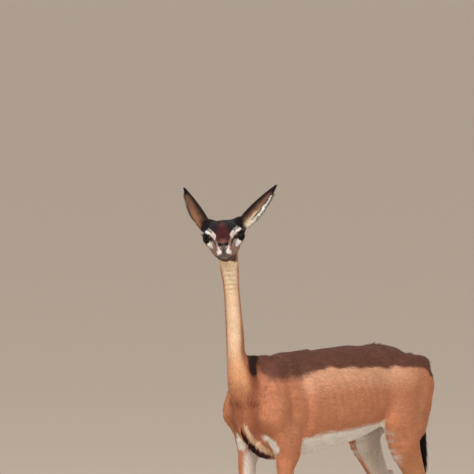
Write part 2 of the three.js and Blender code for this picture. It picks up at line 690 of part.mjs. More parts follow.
const gerenuk = new THREE.Group();
for (const [name, made] of Object.entries(nodes)) {
  const mesh = new THREE.Mesh(geometryOf(made), finishes.find(([kind]) => kind.test(name))[1]);
  mesh.name = name;
  gerenuk.add(mesh);
}

// The origin is on the ground, under the middle of the whole animal.
const whole = new THREE.Box3().setFromObject(gerenuk);
const middle = whole.getCenter(new THREE.Vector3());
for (const mesh of gerenuk.children) mesh.geometry.translate(-middle.x, -middle.y, -whole.min.z);

export default gerenuk;
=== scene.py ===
"""A life-size adult female gerenuk, standing, in the order in which a model maker would build her up.

Lengths inside the sections are millimetres in her stance frame: x = 0 is her middle plane, y = 0 lies
under her withers, z = 0 is the ground, she faces -y and her left side is +x. `place` turns them into the
frame's metres.
"""

import bpy
import numpy as np
from mathutils import Matrix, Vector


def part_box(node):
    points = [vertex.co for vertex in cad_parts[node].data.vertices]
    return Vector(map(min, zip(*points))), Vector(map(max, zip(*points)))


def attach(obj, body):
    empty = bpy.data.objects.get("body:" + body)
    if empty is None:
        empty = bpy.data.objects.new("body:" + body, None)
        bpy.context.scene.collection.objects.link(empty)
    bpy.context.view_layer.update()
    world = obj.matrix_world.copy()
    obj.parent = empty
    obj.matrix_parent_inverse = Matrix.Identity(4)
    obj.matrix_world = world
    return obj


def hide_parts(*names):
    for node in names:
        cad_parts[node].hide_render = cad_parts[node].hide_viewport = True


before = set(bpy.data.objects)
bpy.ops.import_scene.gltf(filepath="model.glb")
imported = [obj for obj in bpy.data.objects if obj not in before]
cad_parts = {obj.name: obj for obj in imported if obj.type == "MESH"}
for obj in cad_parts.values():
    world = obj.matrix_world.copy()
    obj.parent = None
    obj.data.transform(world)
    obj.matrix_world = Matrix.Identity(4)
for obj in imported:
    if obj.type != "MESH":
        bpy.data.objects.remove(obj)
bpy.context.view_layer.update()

# Where she stands. The point midway between her eyes ties her stance to the frame, and the camera looks
# at her from 45 degrees round to her left and 4 degrees above level, ten metres off.
EYES = np.array([37.0, -211.0, 1242.0])
eye_boxes = [np.array(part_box(name), float) for name in ("eye_left", "eye_right")]
MIDDLE = EYES - 1000.0 * np.mean(eye_boxes, axis=(0, 1))
BODY = "root"


def place(points):
    """Stance millimetres to the frame's metres: the middle is taken away and the rest divided by 1000."""
    return (np.asarray(points, float) - MIDDLE) / 1000.0


VIEW_TURN, VIEW_RISE, VIEW_DISTANCE = 45.0, 4.0, 10.0
PIXELS_PER_METRE, FRAME_PIXELS = 380.0, 474.0
WITHERS_SEEN = (270.8, 354.0)  # where the withers lie in the frame, in pixels from its upper left
WITHERS_HEIGHT, SENSOR_WIDTH = 920, 36.0


def towards(turn, rise):
    """Unit vector to what stands turned by degrees round to her left from straight ahead, and raised."""
    a, e = np.radians(turn), np.radians(rise)
    return np.array([np.sin(a) * np.cos(e), -np.cos(a) * np.cos(e), np.sin(e)])


def set_up(thing, right, back, at):
    """Puts a camera or lamp at a point, its own x axis to the right and its z axis backwards."""
    bpy.context.collection.objects.link(thing)
    matrix = np.eye(4)
    matrix[:3] = np.stack([right, np.cross(back, right), back, at], axis=1)
    thing.matrix_world = Matrix(matrix.tolist())


backward, rightward = towards(VIEW_TURN, VIEW_RISE), towards(VIEW_TURN + 90.0, 0.0)
upward = np.cross(backward, rightward)
across_m = (WITHERS_SEEN[0] - FRAME_PIXELS / 2) / PIXELS_PER_METRE
above_m = (FRAME_PIXELS / 2 - WITHERS_SEEN[1]) / PIXELS_PER_METRE
withers = place([0, 0, WITHERS_HEIGHT])
camera_data = bpy.data.cameras.new("camera")
camera_data.sensor_width = SENSOR_WIDTH
camera_data.lens = SENSOR_WIDTH * VIEW_DISTANCE * PIXELS_PER_METRE / FRAME_PIXELS
camera_data.clip_end = 2000.0
camera = bpy.data.objects.new("camera", camera_data)
camera_at = withers - rightward * across_m - upward * above_m + backward * VIEW_DISTANCE
set_up(camera, rightward, backward, camera_at)
bpy.context.scene.camera = camera


# Trunk and neck: flesh over ribs and spine. The form is a distance, positive outside, to elliptical
# sections carried along smooth paths and melted into each other.
def smooth_rows(rows, steps=5):
    """Catmull-Rom spline through the rows: a cubic between each two, whose slope at a row is half the
    step from the row before it to the row after it."""
    rows = np.asarray(rows, float)
    k, last = np.arange(len(rows) - 1), len(rows) - 1
    a, b, c, d = rows[np.maximum(k - 1, 0)], rows[k], rows[k + 1], rows[np.minimum(k + 2, last)]
    t = (np.arange(steps) / steps)[None, :, None]
    slope_b, slope_c, step = ((c - a) / 2)[:, None], ((d - b) / 2)[:, None], (c - b)[:, None]
    bend = 3 * step - 2 * slope_b - slope_c + t * (slope_b + slope_c - 2 * step)
    dense = b[:, None] + t * (slope_b + t * bend)
    return np.vstack([dense.reshape(-1, rows.shape[1]), rows[-1:]])


FAR = 60.0  # beyond this the distance to a form is only that to its box


def flesh(rows, cap=1.0):
    """Distance to a length of flesh. A row is x, y, z of a section's centre, half width, half depth above
    and below, how much wider it is above, and the turn of its width about z in degrees. The nearest point
    of the path gives the section; with k1 = |offset / size| and k2 = |offset / size squared| the distance
    is k1 (k1 - 1) / k2. The ends are rounded over `cap` half depths."""
    dense = smooth_rows(rows)
    size = dense[:, 3:6].max(axis=1)[:, None]
    low, high = (dense[:, :3] - size).min(axis=0), (dense[:, :3] + size).max(axis=0)
    start, run = dense[:-1], np.diff(dense[:, :3], axis=0)
    run_square = (run**2).sum(axis=1)
    start_run, start_square = (start[:, :3] * run).sum(axis=1), (start[:, :3] ** 2).sum(axis=1)
    heading = run / np.sqrt(run_square)[:, None]

    def distance(points):
        """Distance of each of the points to this length of flesh."""
        gap = np.maximum(np.maximum(low - points, points - high), 0)
        found = np.sqrt((gap**2).sum(axis=1))
        near = np.flatnonzero(found < FAR)
        if near.size == 0:
            return found
        p = points[near]
        dot = p @ run.T - start_run
        t = np.clip(dot / run_square, 0, 1)
        span = (t * (t * run_square - 2 * dot) - 2 * p @ start[:, :3].T + start_square).argmin(axis=1)
        along = t[np.arange(len(p)), span]
        at = start[span] + along[:, None] * (dense[span + 1] - start[span])
        off = p - at[:, :3]
        angle = np.radians(at[:, 7])
        across = np.stack([np.cos(angle), np.sin(angle), 0 * angle], axis=1)
        way = heading[span]
        lift = np.cross(way, across)
        lift /= np.linalg.norm(lift, axis=1)[:, None]
        u, rise = (off * across).sum(axis=1), (off * lift).sum(axis=1)
        depth = np.where(rise > 0, at[:, 4], at[:, 5])
        width = at[:, 3] * (1 + at[:, 6] * np.clip(rise / depth, -1, 1))
        v = np.hypot(rise, (off * way).sum(axis=1) / cap)
        k1 = np.hypot(u / width, v / depth)
        k2 = np.hypot(u / width**2, v / depth**2) + 1e-9
        found[near] = np.maximum(k1 * (k1 - 1) / k2, -np.minimum(width, depth))
        return found

    return distance


def sided(side, rows):
    """Rows of x, y, z, half width and half depths, on her left for a side of 1 and her right for -1."""
    return [[side * row[0], *row[1:], 0, 0] for row in rows]


TRUNK = [  # from rump to chest: y, top, bottom, level of the greatest width, half width
    [518, 870, 780, 820, 56],
    [490, 905, 750, 812, 77],
    [420, 921, 716, 800, 88],
    [325, 923, 676, 775, 102],
    [210, 920, 652, 765, 108],
    [90, 917, 642, 768, 96],
    [0, 916, 648, 772, 78],
    [-47, 908, 684, 785, 62],
]
trunk = flesh(
    [[0, y, level, half, top - level, level - low, 0.04, 0] for y, top, low, level, half in TRUNK], cap=0.5
)
HEAD_TURN, HEAD_NOD, HEAD_ROLL = 44.5, 6.0, 5.6  # degrees: to her left, nose down, left eye higher
NECK = [
    [0, -52, 785, 50, 66, 60, 0, 0],
    [0, -97, 850, 43, 54, 54, 0, 14],
    [-3, -124, 915, 27, 37, 36, 0, 30],
    [-1, -132, 975, 24.5, 33, 32, 0, 37],
    [-1, -138, 1035, 22.5, 31.5, 31, 0, 42],
    [-4, -142, 1100, 21.5, 31.5, 30, 0, HEAD_TURN],
    [-7, -146, 1150, 24, 32, 31, 0, HEAD_TURN],
    [-8, -153, 1200, 27, 32, 32, 0, HEAD_TURN],
]
neck = flesh(NECK)
KEEL = [  # breastbone, in rows as `sided` takes them
    [0, -83, 790, 17, 24, 22],
    [0, -75, 735, 16, 26, 26],
    [0, -35, 682, 16, 24, 22],
    [0, 4, 664, 18, 20, 20],
]
RIDGE = [  # withers
    [0, 120, 882, 24, 30, 30],
    [0, 20, 880, 27, 31, 30],
    [0, -30, 886, 25, 33, 30],
    [0, -68, 888, 22, 34, 32],
]
TAIL = [
    [0, 536, 872, 17, 15, 15],
    [0, 568, 838, 12, 11, 11],
    [2, 582, 770, 8.5, 8.5, 8.5],
    [4, 586, 690, 7.5, 7.5, 7.5],
]
keel, ridge, tail = (flesh(sided(1, rows)) for rows in (KEEL, RIDGE, TAIL))


# Legs: bone and sinew under thin skin, thick with muscle only above elbow and stifle. Each stands
# where its hoof is set down, and leans from there to the body.
SIDES = {"left": 1, "right": -1}
FORE_STEP, HIND_STEP = {"left": -14, "right": -34}, {"left": 556, "right": 512}
FORE_TRACK, HIND_TRACK = 52, 56


def blend(a, b, t):
    """The value a share t of the way from a to b."""
    return a + (b - a) * t


def shin(hoof_y, z):
    """How far forward the foreleg is at height z: half way to the elbow by 640 mm up."""
    return blend(hoof_y, blend(hoof_y, -8, 0.5), min(1, z / 640))


def foreleg_rows(side, y):
    """Rows of a foreleg from elbow to hoof, for a hoof set down at y."""
    rows = [
        [64, -4, 700, 30, 42, 38],
        [65, shin(y, 640), 640, 25, 29, 28],
        [64, shin(y, 575) - 1, 575, 20.5, 24, 26],
        [62, shin(y, 490), 490, 15.5, 17.5, 19],
        [60, shin(y, 412), 412, 14, 16, 16],
        [59, shin(y, 372) - 2, 372, 17, 18.5, 17],
        [58, shin(y, 335), 335, 13.5, 14.5, 15.5],
        [56, shin(y, 230), 230, 11, 12, 13.5],
        [54, shin(y, 125), 125, 11.5, 12.5, 14.5],
        [53, shin(y, 88), 88, 14.5, 15.5, 18],
        [52.5, y - 12, 58, 14.5, 15, 16],
        [FORE_TRACK, y - 20, 26, 19, 22, 20],
    ]
    return sided(side, rows)


def hindleg_rows(side, y):
    """Rows of a hind leg from thigh to hoof, for a hoof set down at y."""
    rows = [
        [58, 500, 800, 36, 86, 66],
        [66, 458, 720, 42, 74, 76],
        [72, 440, 660, 38, 56, 54],
        [72, 472, 590, 27, 39, 38],
        [68, 518, 510, 18.5, 27, 28],
        [65, 558, 445, 15, 22, 24],
        [63, blend(y, 584, 0.9), 396, 18, 23, 24],
        [62, blend(y, 580, 0.85), 352, 15, 19, 19],
        [61, blend(y, 570, 0.7), 290, 12, 15, 15.5],
        [59, blend(y, 560, 0.5), 200, 11.5, 14, 14.5],
        [57.5, blend(y, 556, 0.2), 125, 12, 14, 15.5],
        [57, y + 8, 90, 14.5, 16, 19],
        [56.5, y - 4, 58, 14.5, 15, 16],
        [HIND_TRACK, y - 14, 26, 19, 22, 20],
    ]
    return sided(side, rows)


def hock_rows(side, y):
    """Rows of the heel bone and the sinew above it, for a hoof set down at y."""
    rows = [
        [63, blend(y, 590, 0.95), 398, 12, 14, 14],
        [63, blend(y, 602, 0.98), 436, 10, 11, 11],
        [64.5, 574, 492, 8, 9, 9],
        [66, 536, 550, 8, 9, 9],
    ]
    return sided(side, rows)


MUSCLES = [  # shoulder blade, upper arm, hip, buttock, thigh: x, y, z, half width, half depths
    [[38, 4, 858, 22, 44, 44], [66, -44, 808, 24, 46, 44], [66, -56, 766, 29, 35, 33]],
    [[66, -56, 766, 29, 35, 33], [69, -14, 705, 28, 38, 34], [66, 4, 668, 22, 26, 24]],
    [[40, 396, 864, 20, 26, 30], [50, 462, 828, 34, 44, 54]],
    [[38, 518, 832, 26, 34, 30], [52, 498, 760, 32, 46, 44]],
    [[60, 432, 800, 34, 60, 50], [82, 402, 712, 24, 36, 36]],
]
forelegs = {name: flesh(foreleg_rows(side, FORE_STEP[name])) for name, side in SIDES.items()}
hindlegs = {name: flesh(hindleg_rows(side, HIND_STEP[name])) for name, side in SIDES.items()}
hocks = {name: flesh(hock_rows(side, HIND_STEP[name])) for name, side in SIDES.items()}
muscles = [flesh(sided(side, rows)) for side in SIDES.values() for rows in MUSCLES]

# Head: a narrow wedge of a skull with a flat crown, eyes set wide, a slim muzzle. It has a frame of its
# own, -y forward from midway between the eyes. Columns: forward, top, bottom, half width, wider above.
HEAD = [
    [-62, 27, -44, 31, 0.05],
    [-40, 37, -60, 40, 0.1],
    [-15, 41, -68, 43, 0.18],
    [10, 40.5, -64, 41, 0.26],
    [35, 38, -57, 33.5, 0.2],
    [60, 30, -52, 26.5, 0.12],
    [82, 23, -48, 23, 0.04],
    [101, 15.5, -42, 20.5, 0],
]


def spin(axis, degrees):
    """Rotation matrix about one of the axes x, y, z."""
    c, s = np.cos(np.radians(degrees)), np.sin(np.radians(degrees))
    i, j = {"x": (1, 2), "y": (2, 0), "z": (0, 1)}[axis]
    matrix = np.eye(3)
    matrix[i, i], matrix[j, j], matrix[i, j], matrix[j, i] = c, c, -s, s
    return matrix


HEAD_FRAME = spin("z", HEAD_TURN) @ spin("x", HEAD_NOD) @ spin("y", -HEAD_ROLL)


def in_head(points):
    """Points of her stance as seen in the head's frame."""
    return (points - EYES) @ HEAD_FRAME


def from_head(points):
    """Points of the head's frame as they lie in her stance."""
    return np.asarray(points, float) @ HEAD_FRAME.T + EYES


skull = flesh(
    [
        [0, -forward, (top + low) / 2, half, (top - low) / 2, (top - low) / 2, egg, 0]
        for forward, top, low, half, egg in HEAD
    ]
)
EYE_RADIUS, EYE_ASIDE, BROW = 17.0, 35.0, 22.0
EYE_GAZE = np.radians(47.0)  # how far each eye looks out from straight ahead
FACE_COAT = 1.2  # depth of the hair on the face
BROW_FILLET, EAR_FILLET, LEAF_FILLET = 12, 32, 5
HEAD_REACH = 190  # from 40 mm beyond this on, the head's distance is that to a ball of this radius
LID_LONG, LID_TALL = 14.5, 9.6  # half length and half height of the opening between the lids
LID_DISC = (LID_LONG**2 + LID_TALL**2) / (2 * LID_TALL)  # radius of the two discs whose overlap it is
LID_TILT = np.radians(8.0)  # the inner corner sits lower than the outer one


def eye_axes(side):
    """Columns: along the lids towards the ear, up, and the way the eye looks, in the head's frame."""
    gaze = np.array([side * np.sin(EYE_GAZE), -np.cos(EYE_GAZE), 0.05])
    gaze /= np.linalg.norm(gaze)
    back = np.cross([0, 0, 1.0], gaze) * side
    back = back / np.linalg.norm(back)
    up = np.cross(gaze, back) * side
    c, s = np.cos(LID_TILT), np.sin(LID_TILT)
    return np.stack([back * c + up * s, up * c - back * s, gaze], axis=1)


def in_eye(q, side):
    """Head points as seen from an eye: along its lids, up, and the way it looks."""
    return (q - [side * EYE_ASIDE, 0, 0]) @ eye_axes(side)


def lid_gap(v):
    """How far a point seen from the eye lies outside the almond between the lids, an overlap of two discs."""
    return np.hypot(v[:, 0], np.abs(v[:, 1]) + LID_DISC - LID_TALL) - LID_DISC


def folded(points):
    """Points with those on her right mirrored to her left, so that one table serves both sides."""
    return np.abs(points) * [1, 0, 0] + points * [0, 1, 1]


def melt(a, b, size):
    """Union with the crease filled: the lesser, less a quarter of size times the squared closeness."""
    close = np.maximum(size - np.abs(a - b), 0) / size
    return np.minimum(a, b) - close**2 * size / 4


def carve(a, b, size):
    """Form a with form b taken away, the edge rounded over size."""
    return -melt(-a, b, size)


def ease(value, low, high):
    """0 below low, 1 above high, and the smooth cubic 3t^2 - 2t^3 between."""
    t = np.clip((value - low) / (high - low), 0, 1)
    return t * t * (3 - 2 * t)


def segment_gap(points, line):
    """Distance to the nearest point of a line through a few given points."""
    line = np.asarray(line, float)
    best = np.full(len(points), np.inf)
    if len(line) == 1:
        return np.linalg.norm(points - line[0], axis=1)
    for a, b in zip(line[:-1], line[1:]):
        run = b - a
        t = np.clip((points - a) @ run / (run @ run), 0, 1)
        best = np.minimum(best, np.linalg.norm(points - a - t[:, None] * run, axis=1))
    return best


# Ears: a leaf of gristle rolled into a cup, nearly closed at the root and open towards the tip. LEAF is
# its half width along the curve as a share of its length, and CUP half the angle of the roll.
EAR_LENGTH, EAR_WALL = 146.0, 3.0
LEVELS = np.linspace(0, 1, 9)
LEAF = np.array([0.2, 0.22, 0.235, 0.235, 0.215, 0.18, 0.135, 0.08, 0.012])
CUP = np.radians([122, 104, 93, 86, 80, 76, 72, 70, 70])
ROLL = {"left": 1.0, "right": 1.14}  # the right ear is rolled tighter
EARS = {
    "left": ([34, 56, 14], [0.785, 0.25, 0.567], [0.6, 0.42, -0.6]),
    "right": ([-34, 56, 14], [-0.445, 0.65, 0.615], [-0.72, 0.5, -0.4]),
}


def ear_axes(name):
    """Root, and the unit directions to the tip, of the opening, and across it."""
    root, tip, mouth = (np.array(v, float) for v in EARS[name])
    axis = tip / np.linalg.norm(tip)
    opening = mouth - (mouth @ axis) * axis
    opening /= np.linalg.norm(opening)
    return root, axis, opening, np.cross(opening, axis)


def ear_roll(name, level):
    """Half the angle of the leaf's roll at a level, and the roll's radius."""
    half = np.interp(level, LEVELS, CUP) * ROLL[name]
    return half, EAR_LENGTH * np.interp(level, LEVELS, LEAF) / half


def in_ear(name, q):
    """A head point's share of the way up the ear, its angle round the roll as a share of half the
    roll, how far outside the leaf's middle surface it is, and its distance from the leaf."""
    root, axis, opening, wide = ear_axes(name)
    off = q - root
    s = off @ axis / EAR_LENGTH
    level = np.clip(s, 0, 1)
    half, radius = ear_roll(name, level)
    c, w = -(off @ opening - 0.6 * radius + 9 * level**2), off @ wide
    angle = np.clip(np.arctan2(w, c), -half, half)
    gap = np.hypot(np.hypot(c - radius * np.cos(angle), w - radius * np.sin(angle)), (s - level) * EAR_LENGTH)
    return level, angle / half, np.hypot(c, w) - radius, gap


def ear_blade(name, q):
    """Distance to an ear's leaf, whose wall thins towards its edges and its tip."""
    level, share, _, gap = in_ear(name, q)
    return gap - 0.5 * EAR_WALL * (1 - 0.12 * share**4) * (1 - 0.15 * level)


def ear_root(name, q):
    """Distance to the cone that joins an ear to the skull."""
    root, axis, _, _ = ear_axes(name)
    off = q - root
    t = np.clip(off @ axis, -10, 12)
    return np.linalg.norm(off - t[:, None] * axis, axis=1) - blend(21, 17.5, (t + 10) / 22)


# Lines raised or sunk in the head's skin: points, reach, height. Cheekbone, jaw muscle, gland before the
# eye, hollow of the muzzle, edge of the nose bone, temple, lip, chin, and the folds over the lids.
FACE_LINES = [
    ([[36, -28, -17], [43, 4, -15], [40, 30, -8]], 7, 1.8),
    ([[38, 12, -38]], 20, 2.0),
    ([[29, -42, -1], [24, -60, -6]], 4.5, -2.2),
    ([[25, -62, -22], [20, -88, -18]], 10, -1.6),
    ([[15, -36, 35], [10, -70, 25], [8, -104, 12]], 6, 1.3),
    ([[0, -20, 42], [0, -50, 34]], 9, -1.4),
    ([[41, 22, 20]], 10, -2.5),
    ([[13, -116, -23], [19, -96, -27], [22, -78, -31]], 7, 1.6),
    ([[0, -118, -43], [10, -108, -44]], 8, 1.2),
    ([[30, 20, 36], [22, -10, 42]], 6, 1.4),
    ([[12, -122, 6]], 6, 1.6),
]


def head_form(q):
    """Distance to the skin of the head, without the ears' blades, in its own frame."""
    d = skull(q)
    close = np.flatnonzero(d < 40)
    p = q[close]
    mirrored = folded(p)
    part = d[close]
    for name, side in SIDES.items():
        brow = np.linalg.norm(p - [side * EYE_ASIDE, 0, 0], axis=1) - BROW + 1.0
        part = melt(part, brow, BROW_FILLET)
        part = melt(part, ear_root(name, p), EAR_FILLET)
    part = part + FACE_COAT
    for line, reach, height in FACE_LINES:
        part = part - height * np.exp(-((segment_gap(mirrored, line) / reach) ** 2))
    for side in SIDES.values():
        v = in_eye(p, side)
        # a fold over the upper lid and one under the lower, each an arc about the eye
        ring = np.hypot(v[:, 0] / 1.25, v[:, 1])
        fold = np.exp(-(((ring - 14.5) / 1.6) ** 2)) * ease(np.abs(v[:, 1]), 2, 8) * ease(v[:, 2], 0, 8)
        part = part + 1.3 * fold
        part = carve(part, np.maximum(lid_gap(v), 6 - v[:, 2]), 1.5)  # the opening between the lids
    # nostrils: slits that rise outwards and back on each side of the pad, and the groove below it
    nostril = segment_gap(mirrored, [[6.5, -127, -3], [10, -123.5, 0.5], [14, -117, 3]]) - 2.3
    part = carve(part, nostril, 2.0)
    part = part + 1.6 * np.exp(-((segment_gap(mirrored, [[0, -131, -5], [0, -128, -28]]) / 2.0) ** 2))
    mouth = [[0, -131, -31], [9, -125, -31.5], [16, -112, -33], [20, -94, -35.5], [23, -74, -36]]
    part = carve(part, segment_gap(mirrored, mouth) - 1.5, 1.6)
    d[close] = part
    return d


def head_skin(points):
    """Distance to the skin of head and ears, for points of her stance."""
    q = in_head(points)
    reach = np.linalg.norm(q, axis=1)
    d = reach - HEAD_REACH
    close = np.flatnonzero(reach < HEAD_REACH + 40)
    part = head_form(q[close])
    for name in SIDES:
        part = melt(part, ear_blade(name, q[close]), LEAF_FILLET)
    d[close] = part
    return d


# Skin: one closed surface over the whole animal, under the coat by its depth. Muscles, ribs, sinews and the
# grooves between them are raised or sunk along lines.
TRUNK_LINES = [  # of the trunk, in |x|, y, z: points, reach, height
    ([[44, -30, 900], [74, -42, 800]], 10, 2.4),
    ([[66, 48, 885], [88, 58, 770], [74, 50, 690]], 16, -3.2),
    ([[78, 18, 800], [80, 8, 735]], 24, 3.0),
    ([[34, -84, 880], [60, -82, 805]], 11, -2.6),
    ([[64, -84, 762]], 17, 3.0),
    ([[0, -124, 790], [0, -112, 700]], 7, -3.0),
    ([[56, 392, 880]], 17, 2.0),
    ([[86, 345, 850]], 30, -4.0),
    ([[92, 350, 745], [84, 388, 690]], 13, -2.5),
    ([[70, 474, 830], [70, 506, 700], [70, 500, 600]], 10, -3.0),
    ([[96, 424, 740], [88, 440, 640]], 22, 2.2),
    ([[0, 130, 925], [0, 470, 925]], 9, 1.8),
    ([[26, 120, 920], [34, 400, 915]], 14, 1.6),
    ([[0, 20, 645], [0, 300, 655]], 12, -1.5),
]
for rib in range(92, 308, 27):
    TRUNK_LINES.append(([[92, rib, 855], [104, rib + 18, 770], [92, rib + 20, 700]], 6.5, 0.6))
LEG_LINES = {  # of a leg, in millimetres out, back and up from its own middle line
    "fore": [
        ([[0, -18, 372], [0, -17, 392]], 11, 1.8),
        ([[13, -4, 384], [-13, -4, 384]], 7, 1.0),
        ([[0, 17, 392]], 8, 2.2),
        ([[9, 16, 90], [-9, 16, 90]], 7, 1.4),
        ([[14, 8, 560], [12, 12, 450]], 7, -1.8),
        ([[-12, -8, 560], [-12, -4, 450]], 8, 1.2),
    ],
    "hind": [
        ([[9, 16, 92], [-9, 16, 92]], 7, 1.4),
        ([[0, -24, 400], [0, -20, 380]], 9, 1.4),
    ],
}
for side in SIDES.values():  # the grooves beside the cannon bones, and the hollows and knobs of the hock
    LEG_LINES["fore"].append(([[side * 11, 4, 335], [side * 10, 4, 130]], 3.2, -1.4))
    LEG_LINES["hind"] += [
        ([[side * 15, 10, 520], [side * 15, 6, 450]], 8, -4.5),
        ([[side * 18, -4, 402]], 8, 2.0),
        ([[side * 12, 3, 330], [side * 11, 3, 130]], 3.4, -1.5),
    ]
leg_rows = {}
for name, side in SIDES.items():
    leg_rows["fore", name] = smooth_rows(foreleg_rows(side, FORE_STEP[name]))[::-1]
    leg_rows["hind", name] = smooth_rows(hindleg_rows(side, HIND_STEP[name]))[::-1]
neck_rows = smooth_rows(NECK)


def in_leg(kind, name, points):
    """Points as seen from a leg's own middle line: outwards, backwards, and height."""
    rows, z = leg_rows[kind, name], points[:, 2]
    x, y = (np.interp(z, rows[:, 2], rows[:, k]) for k in (0, 1))
    return np.stack([(points[:, 0] - x) * SIDES[name], points[:, 1] - y, z], axis=1)


def in_neck(points):
    """Angle round the neck from throat to nape in radians, height, and distance from the neck's middle."""
    z = points[:, 2]
    x, y, angle = (np.interp(z, neck_rows[:, 2], neck_rows[:, k]) for k in (0, 1, 7))
    turn = np.radians(angle)
    off_x, off_y = points[:, 0] - x, points[:, 1] - y
    across = off_x * np.cos(turn) + off_y * np.sin(turn)
    front = off_x * np.sin(turn) - off_y * np.cos(turn)
    return np.arctan2(across, front), z, np.hypot(across, front)


def raised(points, lines):
    """Sum over the lines of height times exp(-(distance / reach) squared)."""
    total = np.zeros(len(points))
    for line, reach, height in lines:
        ends = np.array(line, float)
        margin = 2.6 * reach
        close = np.flatnonzero(
            ((points > ends.min(axis=0) - margin) & (points < ends.max(axis=0) + margin)).all(axis=1)
        )
        if close.size:
            total[close] += height * np.exp(-((segment_gap(points[close], line) / reach) ** 2))
    return total


def coat_depth(points):
    """Depth of the hair: 3 mm on the trunk, 2 on the neck, 1.2 on the legs."""
    z = points[:, 2]
    return 1.2 + 1.8 * ease(z, 420, 640) - 1.0 * ease(z, 930, 1040) - 0.8 * ease(z, 1120, 1170)


CHUNK = 16384  # points worked at a time, which keeps them in the processor's cache


def skin(points):
    """Distance to the skin, positive outside."""
    pieces = np.array_split(points, len(points) // CHUNK + 1)
    return np.concatenate([skin_piece(piece) for piece in pieces])


FILLET = {"neck": 46, "keel": 22, "ridge": 30, "leg": 26, "hock": 14, "muscle": 30, "tail": 12, "head": 16}
RAISED_WITHIN = 12  # lines are raised and sunk only in points this near to the skin


def skin_piece(points):
    """The same for one chunk: all forms melted together, less the coat's depth and what is raised."""
    d = melt(trunk(points), neck(points), FILLET["neck"])
    d = melt(d, keel(points), FILLET["keel"])
    d = melt(d, ridge(points), FILLET["ridge"])
    for name in SIDES:
        d = melt(d, forelegs[name](points), FILLET["leg"])
        hind = melt(hindlegs[name](points), hocks[name](points), FILLET["hock"])
        d = melt(d, hind, FILLET["leg"])
    for muscle in muscles:
        d = melt(d, muscle(points), FILLET["muscle"])
    d = melt(d, tail(points), FILLET["tail"]) + coat_depth(points)
    near = np.flatnonzero(d < RAISED_WITHIN)
    p = points[near]
    mirrored = folded(p)
    lift = raised(mirrored, TRUNK_LINES)
    low = np.flatnonzero(p[:, 2] < 620)
    for kind, name in leg_rows:
        own = low[(p[low, 0] * SIDES[name] > 0) & ((p[low, 1] > 250) == (kind == "hind"))]
        lift[own] += raised(in_leg(kind, name, p[own]), LEG_LINES[kind])
    high = np.flatnonzero((p[:, 2] > 860) & (p[:, 1] < -60))
    angle, z, _ = in_neck(p[high])
    round_neck = ease(z, 880, 960)
    windpipe = 1.4 * np.exp(-((angle / 0.45) ** 2)) - 1.6 * np.exp(-(((np.abs(angle) - 0.95) / 0.28) ** 2))
    rings = 0.5 * np.sin(z * 2 * np.pi / 11.5) * ease(z, 1085, 1110) * ease(-z, -1165, -1150)
    lift[high] += round_neck * (windpipe + rings * np.exp(-((angle / 1.1) ** 2)))
    d[near] -= lift
    d = melt(d, head_skin(points), FILLET["head"])
    return np.maximum(d, SKIN_FOOT - points[:, 2])


SKIN_FOOT = 21.0  # the skin ends inside the hooves
JOIN = 1000.0  # the head and upper neck are made on a finer lattice than the rest, and joined here
BODY_CELLS = [np.arange(-127.0, 128.0, 4.0), np.arange(-190.0, 616.0, 4.6), np.arange(23.0, JOIN + 1, 7.88)]
HEAD_CELLS = [
    np.arange(-136.0, 140.0, 1.75),
    np.arange(-308.0, -58.0, 1.75),
    np.concatenate([np.arange(JOIN, 1141.0, 3.5), np.arange(1141.75, 1374.0, 1.75)]),
]


